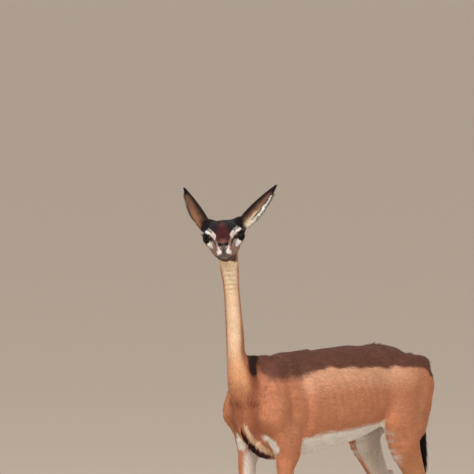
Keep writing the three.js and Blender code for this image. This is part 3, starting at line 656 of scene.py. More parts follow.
def net(cells, jump, reach, low_open, high_open):
    """Surface nets. Each cell of the lattice that the skin crosses gets a point, the mean of the crossings
    on its edges, and each crossed edge a face through the four cells round it. Also gives the rings of
    points left open at the lattice's lowest and highest level. The lattice is worked out only within
    `reach` of the skin, as a coarser one of every `jump`-th level finds it."""
    shape = [len(c) for c in cells]
    rough = [np.unique(np.append(np.arange(0, n, jump), n - 1)) for n in shape]
    knots = np.meshgrid(*[c[r] for c, r in zip(cells, rough)], indexing="ij")
    coarse = skin(np.stack(knots, axis=-1).reshape(-1, 3)).reshape(knots[0].shape)
    nearest = [np.abs(np.arange(n)[:, None] - r).argmin(axis=1) for n, r in zip(shape, rough)]
    value = coarse[np.ix_(*nearest)]
    close = np.argwhere(np.abs(value) < reach)
    value[tuple(close.T)] = skin(np.stack([cells[k][close[:, k]] for k in range(3)], axis=1))
    # where only two opposite corners of a square are inside, one more goes in, so that nothing pinches
    for a, b in ((0, 1), (1, 2), (2, 0)) * 2:
        corner = {}
        for i in (0, 1):
            for j in (0, 1):
                cut = [slice(None)] * 3
                cut[a], cut[b] = slice(i, shape[a] - 1 + i), slice(j, shape[b] - 1 + j)
                corner[i, j] = value[tuple(cut)]
        for one, two in (((0, 0), (1, 1)), ((0, 1), (1, 0))):
            other = [key for key in corner if key not in (one, two)]
            pinched = (corner[one] < 0) & (corner[two] < 0) & (corner[other[0]] > 0) & (corner[other[1]] > 0)
            corner[other[0]][pinched] = -0.1
    inside = value < 0
    steps = np.array([[i, j, k] for i in (0, 1) for j in (0, 1) for k in (0, 1)])
    cell_shape = [n - 1 for n in shape]
    count = sum(inside[tuple(slice(i, i + n) for i, n in zip(c, cell_shape))].astype(np.int8) for c in steps)
    crossed = (count > 0) & (count < 8)
    cell = np.argwhere(crossed)
    number = np.full(cell_shape, -1)
    number[crossed] = np.arange(len(cell))
    total, hits = np.zeros((len(cell), 3)), np.zeros(len(cell))
    for a in range(8):
        for axis in range(3):
            if steps[a, axis]:
                continue
            b = steps[a] + np.eye(3, dtype=int)[axis]
            ia, ib = (cell + steps[a]).T, (cell + b).T
            va, vb = value[tuple(ia)], value[tuple(ib)]
            hit = (va < 0) != (vb < 0)
            t = np.where(hit, va / np.where(hit, va - vb, 1), 0)
            pa = np.stack([cells[k][ia[k]] for k in range(3)], axis=1)
            pb = np.stack([cells[k][ib[k]] for k in range(3)], axis=1)
            total += np.where(hit[:, None], pa + t[:, None] * (pb - pa), 0)
            hits += hit
    points = total / hits[:, None]
    faces = []
    for axis in range(3):
        unit = np.eye(3, dtype=int)
        s, t = unit[(axis + 1) % 3], unit[(axis + 2) % 3]
        here = inside[tuple(slice(1 if k != axis else 0, n - 1) for k, n in enumerate(shape))]
        there = inside[tuple(slice(1, n) if k == axis else slice(1, n - 1) for k, n in enumerate(shape))]
        at = np.argwhere(here != there) + (1 - unit[axis])
        ring = np.stack([number[tuple((at - o).T)] for o in (0 * s, s, s + t, t)], axis=1)
        outward = inside[tuple(at.T)]
        faces.append(np.where(outward[:, None], ring, ring[:, ::-1]))
    rings = []
    for wanted, level, face in ((low_open, 0, 0), (high_open, cell_shape[2] - 1, 1)):
        if wanted:
            layer = cell[:, 2] == level
            top = inside[:, :, level + face]
            across, along = cell[layer, 0], cell[layer, 1]
            four = sum(top[across + i, along + j].astype(int) for i in (0, 1) for j in (0, 1))
            rings.append(np.flatnonzero(layer)[(four > 0) & (four < 4)])
    return points, np.concatenate(faces), rings


CORNERS = np.array([[1, 1, 1], [1, -1, -1], [-1, 1, -1], [-1, -1, 1]])


def slope(points, reach=0.4):
    """The skin's distance and its slope, from four corners of a small cube round each point: the mean of
    the four, and their sum with the corners' signs over four times the reach."""
    values = np.stack([skin(points + reach * corner) for corner in CORNERS], axis=1)
    return values.mean(axis=1), values @ CORNERS / (4 * reach)


def band(points, lower, upper):
    """Triangles between two rings of points round one middle, by merging their angles."""
    centre = points[np.concatenate([lower, upper])].mean(axis=0)
    angle = [np.arctan2(*(points[r] - centre)[:, [1, 0]].T) for r in (lower, upper)]
    lower, upper = lower[np.argsort(angle[0])], upper[np.argsort(angle[1])]
    a, b = np.sort(angle[0]), np.sort(angle[1])
    i = np.arange(len(a))
    apex = (np.searchsorted(b, a[(i + 1) % len(a)], side="right") - 1) % len(b)
    first = np.stack([lower, lower[(i + 1) % len(a)], upper[apex]], axis=1)
    j = np.arange(len(b))
    apex = (np.searchsorted(a, b[(j + 1) % len(b)], side="left") - 1) % len(a)
    second = np.stack([lower[apex], upper[(j + 1) % len(b)], upper], axis=1)
    return np.concatenate([first, second])


body_points, body_faces, (neck_low,) = net(BODY_CELLS, 2, 17.0, False, True)
head_points, head_faces, (neck_high,) = net(HEAD_CELLS, 3, 8.5, True, False)
skin_points = np.concatenate([body_points, head_points])
quads = np.concatenate([body_faces, head_faces + len(body_points)])
for _ in range(2):  # Newton's step onto the true surface, held to a share of a cell
    gap, way = slope(skin_points)
    step = -gap[:, None] * way / np.maximum((way**2).sum(axis=1), 0.15)[:, None]
    reach = np.where(skin_points[:, 2] > JOIN, 0.9, 2.4)[:, None]
    skin_points = skin_points + step * np.minimum(1, reach / (np.linalg.norm(step, axis=1)[:, None] + 1e-9))
ends = skin_points[quads]
short = np.linalg.norm(ends[:, 0] - ends[:, 2], axis=1) <= np.linalg.norm(ends[:, 1] - ends[:, 3], axis=1)
skin_faces = np.concatenate(
    [
        quads[short][:, [0, 1, 2]],
        quads[short][:, [0, 2, 3]],
        quads[~short][:, [0, 1, 3]],
        quads[~short][:, [1, 2, 3]],
        band(skin_points, neck_low, neck_high + len(body_points)),
    ]
)


def unit(v):
    """Each row of v divided by its length."""
    return v / (np.linalg.norm(v, axis=1, keepdims=True) + 1e-9)


skin_normals = unit(slope(skin_points)[1])


# Markings: the colours of skin and hair alike, as a function of the place on her body. Tan, with a dark
# saddle, pale throat, white belly and rump, and a dark masked face with white round the eyes.
def tint(red, green, blue):
    """A colour given as 0 to 255 in display values, as linear light."""
    v = np.array([red, green, blue]) / 255.0
    return np.where(v < 0.04045, v / 12.92, ((v + 0.055) / 1.055) ** 2.4)


def ripple(points, size, seed):
    """Irregularity of about the size given: the mean of seven sine waves in seeded directions."""
    draw = np.random.default_rng(seed)
    wave = draw.normal(size=(7, 3))
    wave *= 2 * np.pi / size * draw.uniform(0.6, 1.5, (7, 1)) / np.linalg.norm(wave, axis=1)[:, None]
    return np.sin(points @ wave.T + draw.uniform(0, 2 * np.pi, 7)).mean(axis=1) * 2


def over(colours, new, share):
    """The new colour laid over the old ones by a share from 0 to 1."""
    return colours + np.asarray(share)[:, None] * (np.asarray(new) - colours)


def plain(colour, count):
    """One colour for a number of points."""
    return np.repeat(colour[None], count, axis=0)


def spot(points, line, reach, soft):
    """1 within reach of a line, falling to 0 over twice soft."""
    return 1 - ease(segment_gap(points, line), reach - soft, reach + soft)


def painted(colours, points, fine, marks):
    """The colours with marks laid over them in turn. A mark is its colour and share, a line, how far it
    reaches from the line and wavers with `fine`, and the softness of its edge."""
    for colour, share, line, reach, waver, soft in marks:
        colours = over(colours, colour, share * spot(points, line, reach + waver * fine, soft))
    return colours




TAN, SADDLE, FLANK = tint(196, 130, 95), tint(106, 68, 55), tint(224, 172, 138)
THROAT, THROAT_LOW = tint(240, 205, 170), tint(216, 158, 114)
NECK_SIDE, NAPE = tint(172, 108, 78), tint(124, 72, 54)
WHITE, CREAM, LEG, DARK = tint(238, 232, 224), tint(232, 202, 170), tint(204, 146, 106), tint(26, 18, 18)
MAROON, CHESTNUT, CROWN = tint(44, 19, 17), tint(66, 20, 24), tint(20, 12, 13)
BROW_WHITE, BROW_GREY, CHEEK = tint(240, 230, 224), tint(104, 97, 88), tint(162, 131, 119)
MUZZLE_WHITE, NOSE, LIP, JAW_SHADE = tint(234, 228, 224), tint(42, 37, 32), tint(92, 86, 92), tint(72, 50, 40)
# tan of the ears' backs; the right one's darker tan is painted shade
EAR_TAN_AND_SHADE = {"left": tint(176, 138, 106), "right": tint(136, 96, 70)}
EAR_BROWN, EAR_DARK = tint(98, 66, 48), tint(36, 22, 20)
EAR_WHITE, EAR_BLACK = tint(232, 226, 218), tint(14, 10, 11)
SIDE_HIGH, PALE_THROAT_LIT, HOLLOW_SHADE_BROWN = tint(192, 134, 104), tint(254, 226, 192), tint(138, 78, 56)
LEG_SHADE, HOOF_SHADE, KNEE = tint(96, 62, 46), tint(52, 36, 30), tint(60, 38, 32)
RUMP_EDGE = tint(120, 70, 52)
FACE_BACK, SNOUT, CROWN_PALE = tint(164, 112, 84), tint(112, 66, 60), tint(92, 42, 46)
BROW_PINK, EYE_WHITE = tint(240, 204, 190), tint(250, 246, 242)
NOSE_GREY, CHIN = tint(78, 74, 66), tint(60, 53, 48)
# painted shade in the groove down the nose pad, inside the nostrils and along the slit of the mouth
CLEFT_SHADE, NOSTRIL_SHADE, MOUTH_SHADE = tint(52, 52, 52), tint(10, 8, 8), tint(20, 15, 16)
EAR_CREAM, EAR_ROOT = tint(216, 198, 160), tint(92, 66, 60)


SADDLE_EDGE = (  # its y and its height
    [-120, -60, 20, 60, 100, 160, 300, 430, 500, 545],
    [880, 864, 858, 862, 874, 879, 868, 862, 852, 830],
)
NECK_GROOVE = [[34, -104, 892], [38, -106, 850], [42, -108, 806], [40, -112, 770], [36, -104, 728]]
NECK_MARKS = [  # painted shade in the hollows at its root, over their own darker brown
    (HOLLOW_SHADE_BROWN, 0.85, NECK_GROOVE, 17, 0, 14),
    (HOLLOW_SHADE_BROWN, 0.6, [[0, -140, 800], [0, -122, 765]], 20, 0, 16),
]


def body_colours(p, n):
    """Trunk, neck, legs and tail, from the place p and the way n that the surface faces."""
    x, y, z = p.T
    count, mirrored = len(p), folded(p)
    rough, fine = ripple(p, 45, 3), ripple(p, 14, 4)
    c = plain(TAN, count)
    c = over(c, LEG, ease(-z, -660, -520))
    # saddle from withers to rump, with a lighter flank below its edge
    edge = np.interp(y, *SADDLE_EDGE) + 2.5 * rough + 1.2 * fine
    c = over(c, FLANK, 0.75 * ease(z, edge - 75, edge - 12) * ease(y, 0, 70) * ease(-y, -520, -400))
    soft = np.interp(y, [20, 100], [17, 5])  # the edge fades over the shoulder and is crisp behind it
    c = over(c, SADDLE, ease(z, edge - soft, edge + soft) * ease(y, -100, -84) * ease(-y, -566, -545))
    # neck: pale down the throat, red-brown at the sides, darker along the nape
    angle, _, _ = in_neck(p)
    around = np.abs(angle) + 0.06 * fine
    on_neck = ease(z, 800, 880) * ease(-y, 62, 84)
    side = over(plain(NECK_SIDE, count), SIDE_HIGH, ease(z, 960, 1060))
    side = over(side, NAPE, ease(around, 1.9, 2.7))
    c = over(c, side, on_neck)
    # painted shade in the hollows where the neck meets the chest, over their own darker brown
    c = painted(c, mirrored, fine, NECK_MARKS)
    pale = over(plain(THROAT_LOW, count), THROAT, ease(z, 870, 990))
    # the top of the throat paler still: its own pale colour with painted light where the head shades it
    pale = over(pale, PALE_THROAT_LIT, ease(z, 1080, 1160))
    c = over(c, pale, ease(z, 810, 880) * (1 - ease(around, 0.5, 1.2)) * ease(-y, 70, 100))
    c = over(c, DARK, 0.95 * spot(mirrored, [[6, -80, 922], [16, -94, 906], [24, -98, 890]], 17, 5))
    # chest: painted shade down its middle, widening downwards between cream strips, and a white patch on the
    # front of each upper leg
    front = ease(-y, 5, 30)
    keel_shade_half = np.interp(z, [640, 673, 690, 712, 735, 754], [22, 17, 13, 9, 4, -3])
    up = z + 34 * (x < 0)  # the strip on her right begins lower
    strip = np.interp(up, [650, 673, 687, 707, 734, 765], [34, 26, 22, 20, 15, 9.5])
    strip_half = np.interp(up, [645, 690, 735, 766], [8.0, 7.5, 5.5, -3]) + 0.8 * fine
    c = over(c, CREAM, front * (1 - ease(np.abs(np.abs(x) - strip) - strip_half, -2, 2)) * ease(z, 640, 655))
    # painted shade down the middle of the chest between the forelegs, widening downwards
    c = over(c, MAROON, front * (1 - ease(np.abs(x) - keel_shade_half - fine, -2.5, 2.5)) * ease(-z, -746, -738))
    c = over(c, WHITE, spot(mirrored, [[53, -76, 706], [63, -54, 684]], 16.0 + 1.5 * fine, 2.5))
    # belly, inner legs and rump
    hem = np.interp(y, [20, 100, 200, 325, 400], [690, 708, 712, 718, 724]) + 3 * fine
    inward = ease(-n[:, 0] * np.sign(x), 0.15, 0.75)
    under = np.maximum(1 - ease(y + 8 * rough, 318, 352), ease(np.maximum(inward, -n[:, 2]), 0.3, 0.6))
    belly = ease(-z, -hem - 7, -hem + 7) * ease(y + 10 * fine, 30, 66) * ease(-y, -430, -390)
    c = over(c, WHITE, belly * ease(z, 560, 600) * under)
    c = over(c, WHITE, 0.8 * inward * ease(-z, -730, -690) * ease(z, 330, 520) * ease(np.abs(x), 6, 20))
    c = over(c, CREAM, 0.5 * inward * ease(-z, -380, -300))
    rump = ease(n[:, 1], 0.1, 0.4) * ease(y, 505, 525) * ease(z, 705, 735) * ease(-z, -868, -852)
    patch = np.abs(np.abs(x) - 22) - 12 - fine
    c = over(c, RUMP_EDGE, 0.8 * rump * (1 - ease(patch, 2, 6)))
    c = over(c, WHITE, rump * (1 - ease(patch, -2, 2)))
    # tail: brown above, black towards the tuft
    tail_y = np.interp(z, [690, 770, 838, 872], [586, 582, 568, 540])
    on_tail = (1 - ease(np.hypot(x - 2, y - tail_y), 13, 19)) * (z < 880) * ease(y, 552, 562)
    c = over(c, over(plain(NAPE, count), DARK, ease(-z, -760, -715)), on_tail)
    # legs: dark knee, and a dark line down the front of the pastern
    for kind, name in leg_rows:
        own = np.flatnonzero((z < 440) & (x * SIDES[name] > 0) & ((y > 250) == (kind == "hind")))
        leg = in_leg(kind, name, p[own])
        if kind == "fore":
            knee = np.exp(-(((leg[:, 2] - 368) / 20) ** 2)) * ease(-leg[:, 1], -2, 8)
            c[own] = over(c[own], KNEE, 0.9 * knee)
        c[own] = over(c[own], LEG_SHADE, 0.6 * ease(-leg[:, 2], -100, -60) * ease(-leg[:, 1], 2, 10))
        c[own] = over(c[own], HOOF_SHADE, 0.85 * ease(-leg[:, 2], -56, -42))
    return c * (1 + 0.05 * rough + 0.04 * fine)[:, None]


JAW_MARKS = [  # painted shade along the jaw, and the streak across the cheek
    (JAW_SHADE, 0.92, [[14, -90, -46], [24, -44, -56], [28, -10, -64], [27, 8, -72]], 10, 0, 5),
    (MAROON, 0.5, [[34, -40, -28], [29, -62, -35], [23, -84, -39]], 3.0, 0, 2.2),
]
TEAR = [[33, -34, 2], [27.5, -50, 4.5], [25, -64, 0.5], [21.5, -84, -2.5], [20, -95, -8], [20, -98, -17]]
BROW_LINE = [[43.5, 8, 21], [39, -14, 19.5], [32, -30, 17.5], [26, -47, 15.5], [21.5, -67, 11]]
EYE_MARKS = [  # dark line from the eye down the muzzle, painted shade on the cheek below it, dark over the eye, the brow, and white under the eye
    (MAROON, 0.97, TEAR, 4.3, 0.5, 1.8),
    (JAW_SHADE, 0.7, [[21, -84, -24], [23, -66, -32]], 5.0, 0.6, 4.5),
    (MAROON, 0.85, [[48, 24, 16], [46, 4, 14], [41, -8, 12], [35, -23, 10]], 6.0, 0, 2.5),
    (BROW_WHITE, 1, BROW_LINE, 6.5, 0.6, 1.2),
    (BROW_PINK, 0.8, [[25, -52, 15], [21.5, -67, 11]], 4.6, 0, 1.6),
    (BROW_GREY, 0.92, [[43, 6, 24], [37, -17, 22.5], [29.5, -35, 19.8]], 3.9, 0.5, 1.3),
    (EYE_WHITE, 1, [[38, -22, -14], [32.5, -36, -13.5]], 9.2, 0.8, 1.4),
]
MUZZLE_MARKS = [  # inner corner of the eye, nose, two white patches beside it, lower lip, chin, nose pad
    (DARK, 1, [[38, -15, 0], [35, -26, 0.5], [31, -38, 2.5]], 3.6, 0, 1.4),
    (NOSE_GREY, 0.9, [[0, -128, -3], [0, -129, -22]], 7.5, 0, 1.8),
    (MUZZLE_WHITE, 1, [[13, -119, -6.5], [11, -123, -14]], 2.7, 0.5, 1.1),
    (MUZZLE_WHITE, 1, [[9.8, -124, -16.5], [15, -118, -20.5], [20.5, -106, -26.5]], 5.0, 0.6, 1.2),
    (LIP, 0.95, [[0, -129, -31], [10, -124, -32], [17, -110, -35]], 6.6, 0, 1.6),
    (CHIN, 0.95, [[0, -116, -46], [9, -104, -47]], 9.5, 0, 3.5),
    (NOSE, 1, [[0, -127, 1.5], [8, -121.5, 2.5], [12, -115, 3]], 3.8, 0.3, 1.3),
]
# painted shade inside the nostrils and along the slit of the mouth
MOUTH_MARKS = [
    (NOSTRIL_SHADE, 1, [[8.5, -124, -0.5], [13.5, -116, 3]], 3.4, 0, 1.0),
    (MOUTH_SHADE, 0.9, [[0, -131, -31], [9, -125, -31.5], [16, -112, -33], [22, -84, -36]], 1.4, 0, 0.8),
]
CROWN_LEVEL = ([-130, -100, -60, -20, 0, 60], [4, 9, 17, 24, 16, 0])
WEDGE = (  # the chestnut wedge down the forehead: its y and half width
    [-125, -104, -88, -74, -60, -46, -26, -12, 0],
    [8, 15.5, 17.5, 19.5, 17, 11, 8, 5.5, 2],
)


def face_colours(q):
    """The head without the ears' blades, in its own frame."""
    m = folded(q)
    x, y, z = m.T
    fine = ripple(q, 9, 6)
    c = plain(CHEEK, len(q))
    c = over(c, FACE_BACK, 0.8 * ease(y, 0, 45) * ease(-z, -6, 20))
    c = over(c, SIDE_HIGH, ease(y, 44, 60) * ease(-z, 14, 44))
    c = over(c, NAPE, ease(y, 74, 98) * ease(-z, 0, 30))
    jaw_shade_end = 67 + 0.45 * np.clip(q[:, 0], -18, 28)  # the painted shade under the jaw reaches lower on her left
    # painted shade under the jaw
    c = over(c, JAW_SHADE, 0.9 * ease(-z - 0.12 * x, 36, 46) * (1 - ease(y, 44, 62)))
    # pale throat below the jaw, its own pale colour with painted light where the head shades it
    c = over(c, PALE_THROAT_LIT, ease(-z - jaw_shade_end, -3, 3) * ease(y, -62, -36) * (1 - ease(y, 50, 72)))
    c = painted(c, m, fine, JAW_MARKS)
    # crown and forehead
    fade = np.interp(y, [5, 60], [3, 13])  # crisp in front, fading into the nape behind
    top = ease(z - np.interp(y, *CROWN_LEVEL) + 5 * ripple(q, 24, 12) * (y > 5), -fade, fade)
    c = over(c, CROWN, top)
    c = over(c, MAROON, top * (1 - ease(y, -64, -40)))
    chestnut = over(plain(CHESTNUT, len(q)), SNOUT, 1 - ease(y, -118, -102))
    chestnut = over(chestnut, CROWN_PALE, 0.8 * spot(m, [[0, -18, 42], [0, -42, 35]], 6.5, 3.5))
    wedge = 1 - ease(x - np.interp(y, *WEDGE) + 1.5 * fine, -3, 3)
    c = over(c, chestnut, wedge * ease(z, 0, 6) * ease(-y, -4, 8))
    # eyes, muzzle and mouth
    c = painted(c, m, fine, EYE_MARKS)
    for side in SIDES.values():
        v = in_eye(q, side)
        lid = (1 - ease(lid_gap(v), 2.8, 5.0)) * ((q[:, 0] > 0) == (side > 0)) * ease(v[:, 2], 0, 6)
        c = over(c, EAR_BLACK, lid)
    c = painted(c, m, fine, MUZZLE_MARKS)
    # painted shade in the groove down the nose pad
    c = over(c, CLEFT_SHADE, 0.9 * spot(m, [[0, -130, -5], [0, -129, -28]], 2.4 - 0.05 * z, 1.2))
    c = painted(c, m, fine, MOUTH_MARKS)
    return c * (1 + 0.08 * fine)[:, None]


def ear_colours(name, q):
    """An ear's leaf: dark band and tan panel on the back, white streaked with black inside, black tip."""
    level, share, outside, _ = in_ear(name, q)
    f = share * SIDES[name] + 0.05 * ripple(q, 18, 8)
    uneven = 0.03 * ripple(q, 9, 9)
    # the right ear's back starts darker: painted shade
    back = plain(EAR_TAN_AND_SHADE[name], len(q))
    if name == "left":
        back = over(back, EAR_CREAM, ease(f, 0.3, 0.6) * (1 - ease(level, 0.28, 0.55)))
    back = over(back, EAR_BROWN, 0.75 * ease(level, 0.3, 0.66))
    back = over(back, EAR_BROWN, 1 - ease(f, 0.36, 0.72))
    back = over(back, EAR_DARK, 1 - ease(f, 0.08, 0.46))
    root_end = {"left": 0.2, "right": 0.5}[name]
    back = over(back, EAR_DARK, ease(-level, -0.28, -0.1) * (1 - ease(f, root_end, root_end + 0.35)))
    hem = {"left": 0.66, "right": 0.9}[name]
    edge = ease(f, hem, hem + 0.05) * ease(level, 0.2, 0.3) * (1 - ease(level, 0.82, 0.88))
    back = over(back, EAR_BLACK, edge)
    pale_edge = ease(f, hem + 0.08, hem + 0.14) * (1 - ease(level + uneven, 0.8, 0.86))
    streaks = 1 - 0.85 * ease(np.sin(level * 75 + 4 * uneven / 0.03), 0.45, 0.8)
    back = over(back, EAR_WHITE, pale_edge * streaks)
    back = over(back, EAR_BLACK, ease(level + uneven, 0.76, 0.88) * (1 - pale_edge))
    inside = plain(EAR_WHITE, len(q))
    streak = np.abs(np.sin(share * (5.2 - 2.2 * level) + 0.5 * np.sin(level * 7)))
    middle = ease(level, 0.16, 0.3) * (1 - ease(level, 0.8, 0.86))
    inside = over(inside, EAR_BLACK, (1 - ease(streak, 0.16, 0.34)) * middle)
    inside = over(inside, EAR_ROOT, 1 - ease(level, 0.1, 0.24))
    inside = over(inside, EAR_BLACK, ease(level + uneven, 0.84, 0.93))
    return np.where((outside > -0.2)[:, None], back, inside)


ATLAS, ATLAS_UP = np.array([-16.0, -150.0, 1168.0]), from_head([0, -30, 78]) - EYES
ATLAS_UP = ATLAS_UP / np.linalg.norm(ATLAS_UP)


def head_height(p):
    """How far above the plane between the skull and the first neck bone."""
    return (p - ATLAS) @ ATLAS_UP


def markings(p, n):
    """Colours at the places p on the skin, which faces the way n there."""
    c = body_colours(p, n)
    height = head_height(p)
    high = np.flatnonzero(height > -12)
    q = in_head(p[high])
    share = ease(height[high] + 2 * ripple(p[high], 12, 11), -7, 7)
    part = over(c[high], face_colours(q), share)
    for name in SIDES:
        level, _, _, gap = in_ear(name, q)
        blade = (1 - ease(gap, 4, 7)) * ease(level, 0.06, 0.14)
        part = over(part, ear_colours(name, q), blade)
    c[high] = part
    return np.clip(c, 0.002, 1)


def lay_mesh(name, points, faces, materials, colours=None, normals=None):
    """A mesh object from arrays: points in stance millimetres, faces all with the same number of corners."""
    mesh = bpy.data.meshes.new(name)
    count, corners = faces.shape
    mesh.vertices.add(len(points))
    mesh.vertices.foreach_set("co", place(points).astype(np.float32).ravel())
    mesh.loops.add(count * corners)
    mesh.loops.foreach_set("vertex_index", faces.astype(np.int32).ravel())
    mesh.polygons.add(count)
    mesh.polygons.foreach_set("loop_start", np.arange(0, count * corners, corners, dtype=np.int32))
    mesh.polygons.foreach_set("use_smooth", np.ones(count, bool))
    mesh.update(calc_edges=True)
    if colours is not None:
        layer = mesh.attributes.new("markings", "FLOAT_COLOR", "POINT")
        opaque = np.hstack([colours, np.ones((len(colours), 1))])
        layer.data.foreach_set("color", opaque.astype(np.float32).ravel())
    if normals is not None:
        mesh.normals_split_custom_set_from_vertices(normals.astype(np.float32))
    for material in materials:
        mesh.materials.append(material)
    piece = bpy.data.objects.new(name, mesh)
    bpy.context.collection.objects.link(piece)
    return piece


def hair_finish(name, rough, sheen, bump=0.0, grain=600.0):
    """Coat over skin: the markings varied by fine noise, a soft sheen, and for the skin a bump of hairs."""
    material = bpy.data.materials.new(name)
    material.use_nodes = True
    nodes, links = material.node_tree.nodes, material.node_tree.links
    shader = nodes["Principled BSDF"]
    kinds = ("Attribute", "TexCoord", "TexNoise", "MapRange", "VectorMath")
    marking, places, noise, spread, mix = (nodes.new("ShaderNode" + kind) for kind in kinds)
    marking.attribute_name, mix.operation = "markings", "SCALE"
    gloss = {"Roughness": rough, "Specular IOR Level": 0.12, "Sheen Weight": sheen, "Sheen Roughness": 0.45}
    contrast = {"From Min": 0.3, "From Max": 0.7, "To Min": 0.86, "To Max": 1.12}
    for node, values in ((shader, gloss), (noise, {"Scale": grain, "Detail": 3.0}), (spread, contrast)):
        for socket, value in values.items():
            node.inputs[socket].default_value = value
    links.new(places.outputs["Object"], noise.inputs["Vector"])
    links.new(noise.outputs["Fac"], spread.inputs["Value"])
    links.new(marking.outputs["Color"], mix.inputs[0])
    links.new(spread.outputs["Result"], mix.inputs["Scale"])
    links.new(mix.outputs["Vector"], shader.inputs["Base Color"])
    if bump:
        rise = nodes.new("ShaderNodeBump")
        rise.inputs["Strength"].default_value, rise.inputs["Distance"].default_value = bump, 0.0006
        links.new(noise.outputs["Fac"], rise.inputs["Height"])
        links.new(rise.outputs["Normal"], shader.inputs["Normal"])
    return material


hide_finish = hair_finish("hide", 0.62, 0.03, bump=0.5)
skin_colours = markings(skin_points, skin_normals)
hide = lay_mesh("hide", skin_points, skin_faces, [hide_finish], skin_colours)
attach(hide, BODY)
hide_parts("head", "neck", "trunk", "tail", "ear_left", "ear_right")
for name in SIDES:
    lengths = [f"{leg}_{part}_{name}" for leg in ("foreleg", "hindleg") for part in ("upper", "lower")]
    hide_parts(*lengths)


# Eyes: big dark balls, a little fuller at the clear front, wet. The pupil is a lying oval in a dark brown
# iris. Each sits in the head behind a thin rim of bare black lid.
def wheel(first, columns):
    """Two grids: the first values down the rows, and angles round a full turn across the columns."""
    return np.meshgrid(first, np.linspace(0, 2 * np.pi, columns, endpoint=False), indexing="ij")


def wound(rings):
    """A closed shape from rings of points (rows x columns x 3): triangles between neighbouring rings and a
    fan at each end to the end ring's middle, turned so that all face out."""
    rows, columns, _ = rings.shape
    points = np.concatenate([rings.reshape(-1, 3), rings[:1].mean(axis=1), rings[-1:].mean(axis=1)])
    i, j = (v.ravel() for v in np.meshgrid(np.arange(rows - 1), np.arange(columns), indexing="ij"))
    a, b = i * columns + j, i * columns + (j + 1) % columns
    j = np.arange(columns)
    after = (j + 1) % columns
    first, last = np.full(columns, rows * columns), np.full(columns, rows * columns + 1)
    faces = np.concatenate(
        [
            np.stack([a, b, b + columns], axis=1),
            np.stack([a, b + columns, a + columns], axis=1),
            np.stack([first, after, j], axis=1),
            np.stack([last, j + (rows - 1) * columns, after + (rows - 1) * columns], axis=1),
        ]
    )
    p, q, r = (points[faces[:, k]] - points[0] for k in range(3))
    return points, faces if (np.cross(p, q) * r).sum() > 0 else faces[:, ::-1]


def gloss_finish(name, rough, coat):
    """Wet or horny skin and eyes: the markings varied by fine noise under a clear coat."""
    material = hair_finish(name, rough, 0.0, grain=500.0)
    shader = material.node_tree.nodes["Principled BSDF"]
    shader.inputs["Specular IOR Level"].default_value = 0.02
    shader.inputs["Coat Weight"].default_value = coat
    shader.inputs["Coat Roughness"].default_value = 0.04
    return material


eye_finish, lid_finish = gloss_finish("eye wet", 0.3, 0.28), gloss_finish("lid skin", 0.5, 0.06)
PUPIL_LONG, PUPIL_TALL, IRIS_EDGE = 0.36, 0.22, 0.6  # as angles from the way the eye looks
RIM_STEPS, RIM_ROUND = 96, 12


def lid_edge(t):
    """Points of the almond's edge for angles t: along its lids, and up."""
    x = -LID_LONG * np.cos(t)
    return x, np.sign(np.sin(t)) * (np.sqrt(LID_DISC**2 - x**2) - LID_DISC + LID_TALL)


for name, side in SIDES.items():
    axes = eye_axes(side)
    centre = np.array([side * EYE_ASIDE, 0, 0])
    polar, round_eye = wheel(np.linspace(0, np.pi, 50)[1:-1], 64)
    reach = EYE_RADIUS + 0.9 * np.exp(-((polar / 0.62) ** 4))  # fuller in front
    ball = np.stack([np.sin(polar) * np.cos(round_eye), np.sin(polar) * np.sin(round_eye), np.cos(polar)], -1)
    ball, faces = wound(reach[..., None] * ball)
    polar = np.arctan2(np.hypot(ball[:, 0], ball[:, 1]), ball[:, 2])
    round_eye = np.arctan2(ball[:, 1], ball[:, 0])
    oval = np.hypot(polar * np.cos(round_eye) / PUPIL_LONG, polar * np.sin(round_eye) / PUPIL_TALL)
    rays = 0.5 + 0.5 * np.sin(round_eye * 37 + 3 * np.sin(round_eye * 5))
    colour = over(plain(tint(18, 12, 11), len(ball)), tint(8, 5, 5), 1 - ease(polar, 0.74, 0.9))
    colour = over(colour, tint(22, 11, 7), (1 - ease(polar, IRIS_EDGE, 0.68)) * (0.5 + 0.5 * rays))
    colour = over(colour, tint(2, 2, 3), 1 - ease(oval, 0.9, 1.1))
    if side < 0:
        faces = faces[:, ::-1]
    eye = lay_mesh(f"eyeball_{name}", from_head(ball @ axes.T + centre), faces, [eye_finish], colour)
    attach(eye, BODY)
    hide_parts(f"eye_{name}")

    # lid rim: a flattened tube along the almond where it lies on the ball, thicker above
    along, around = wheel(np.linspace(0, 2 * np.pi, RIM_STEPS, endpoint=False), RIM_ROUND)
    lid_x, lid_y = lid_edge(along)
    flat = np.stack([lid_x, lid_y, 0 * lid_x], axis=-1)
    outer = flat / np.linalg.norm(flat, axis=-1, keepdims=True)
    on_ball = np.sqrt((EYE_RADIUS + 0.4) ** 2 - lid_x**2 - lid_y**2)
    thick = 0.95 + 0.45 * ease(np.sin(along), 0, 0.6)
    bulge = 1.5 * np.cos(around)[..., None] * outer + [0, 0, 0.85] * np.sin(around)[..., None]
    tube = flat + [0, 0, 1] * on_ball[..., None] + thick[..., None] * bulge
    i, j = (v.ravel() for v in np.meshgrid(np.arange(RIM_STEPS), np.arange(RIM_ROUND), indexing="ij"))
    next_i, next_j = (i + 1) % RIM_STEPS, (j + 1) % RIM_ROUND
    faces = np.stack([a * RIM_ROUND + b for a, b in ((i, j), (i, next_j), (next_i, next_j), (next_i, j))], 1)
    points = from_head(tube.reshape(-1, 3) @ axes.T + centre)
    colour = plain(tint(20, 15, 15), len(points))
    rim = lay_mesh(f"lid_rim_{name}", points, faces if side < 0 else faces[:, ::-1], [lid_finish], colour)
    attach(rim, BODY)


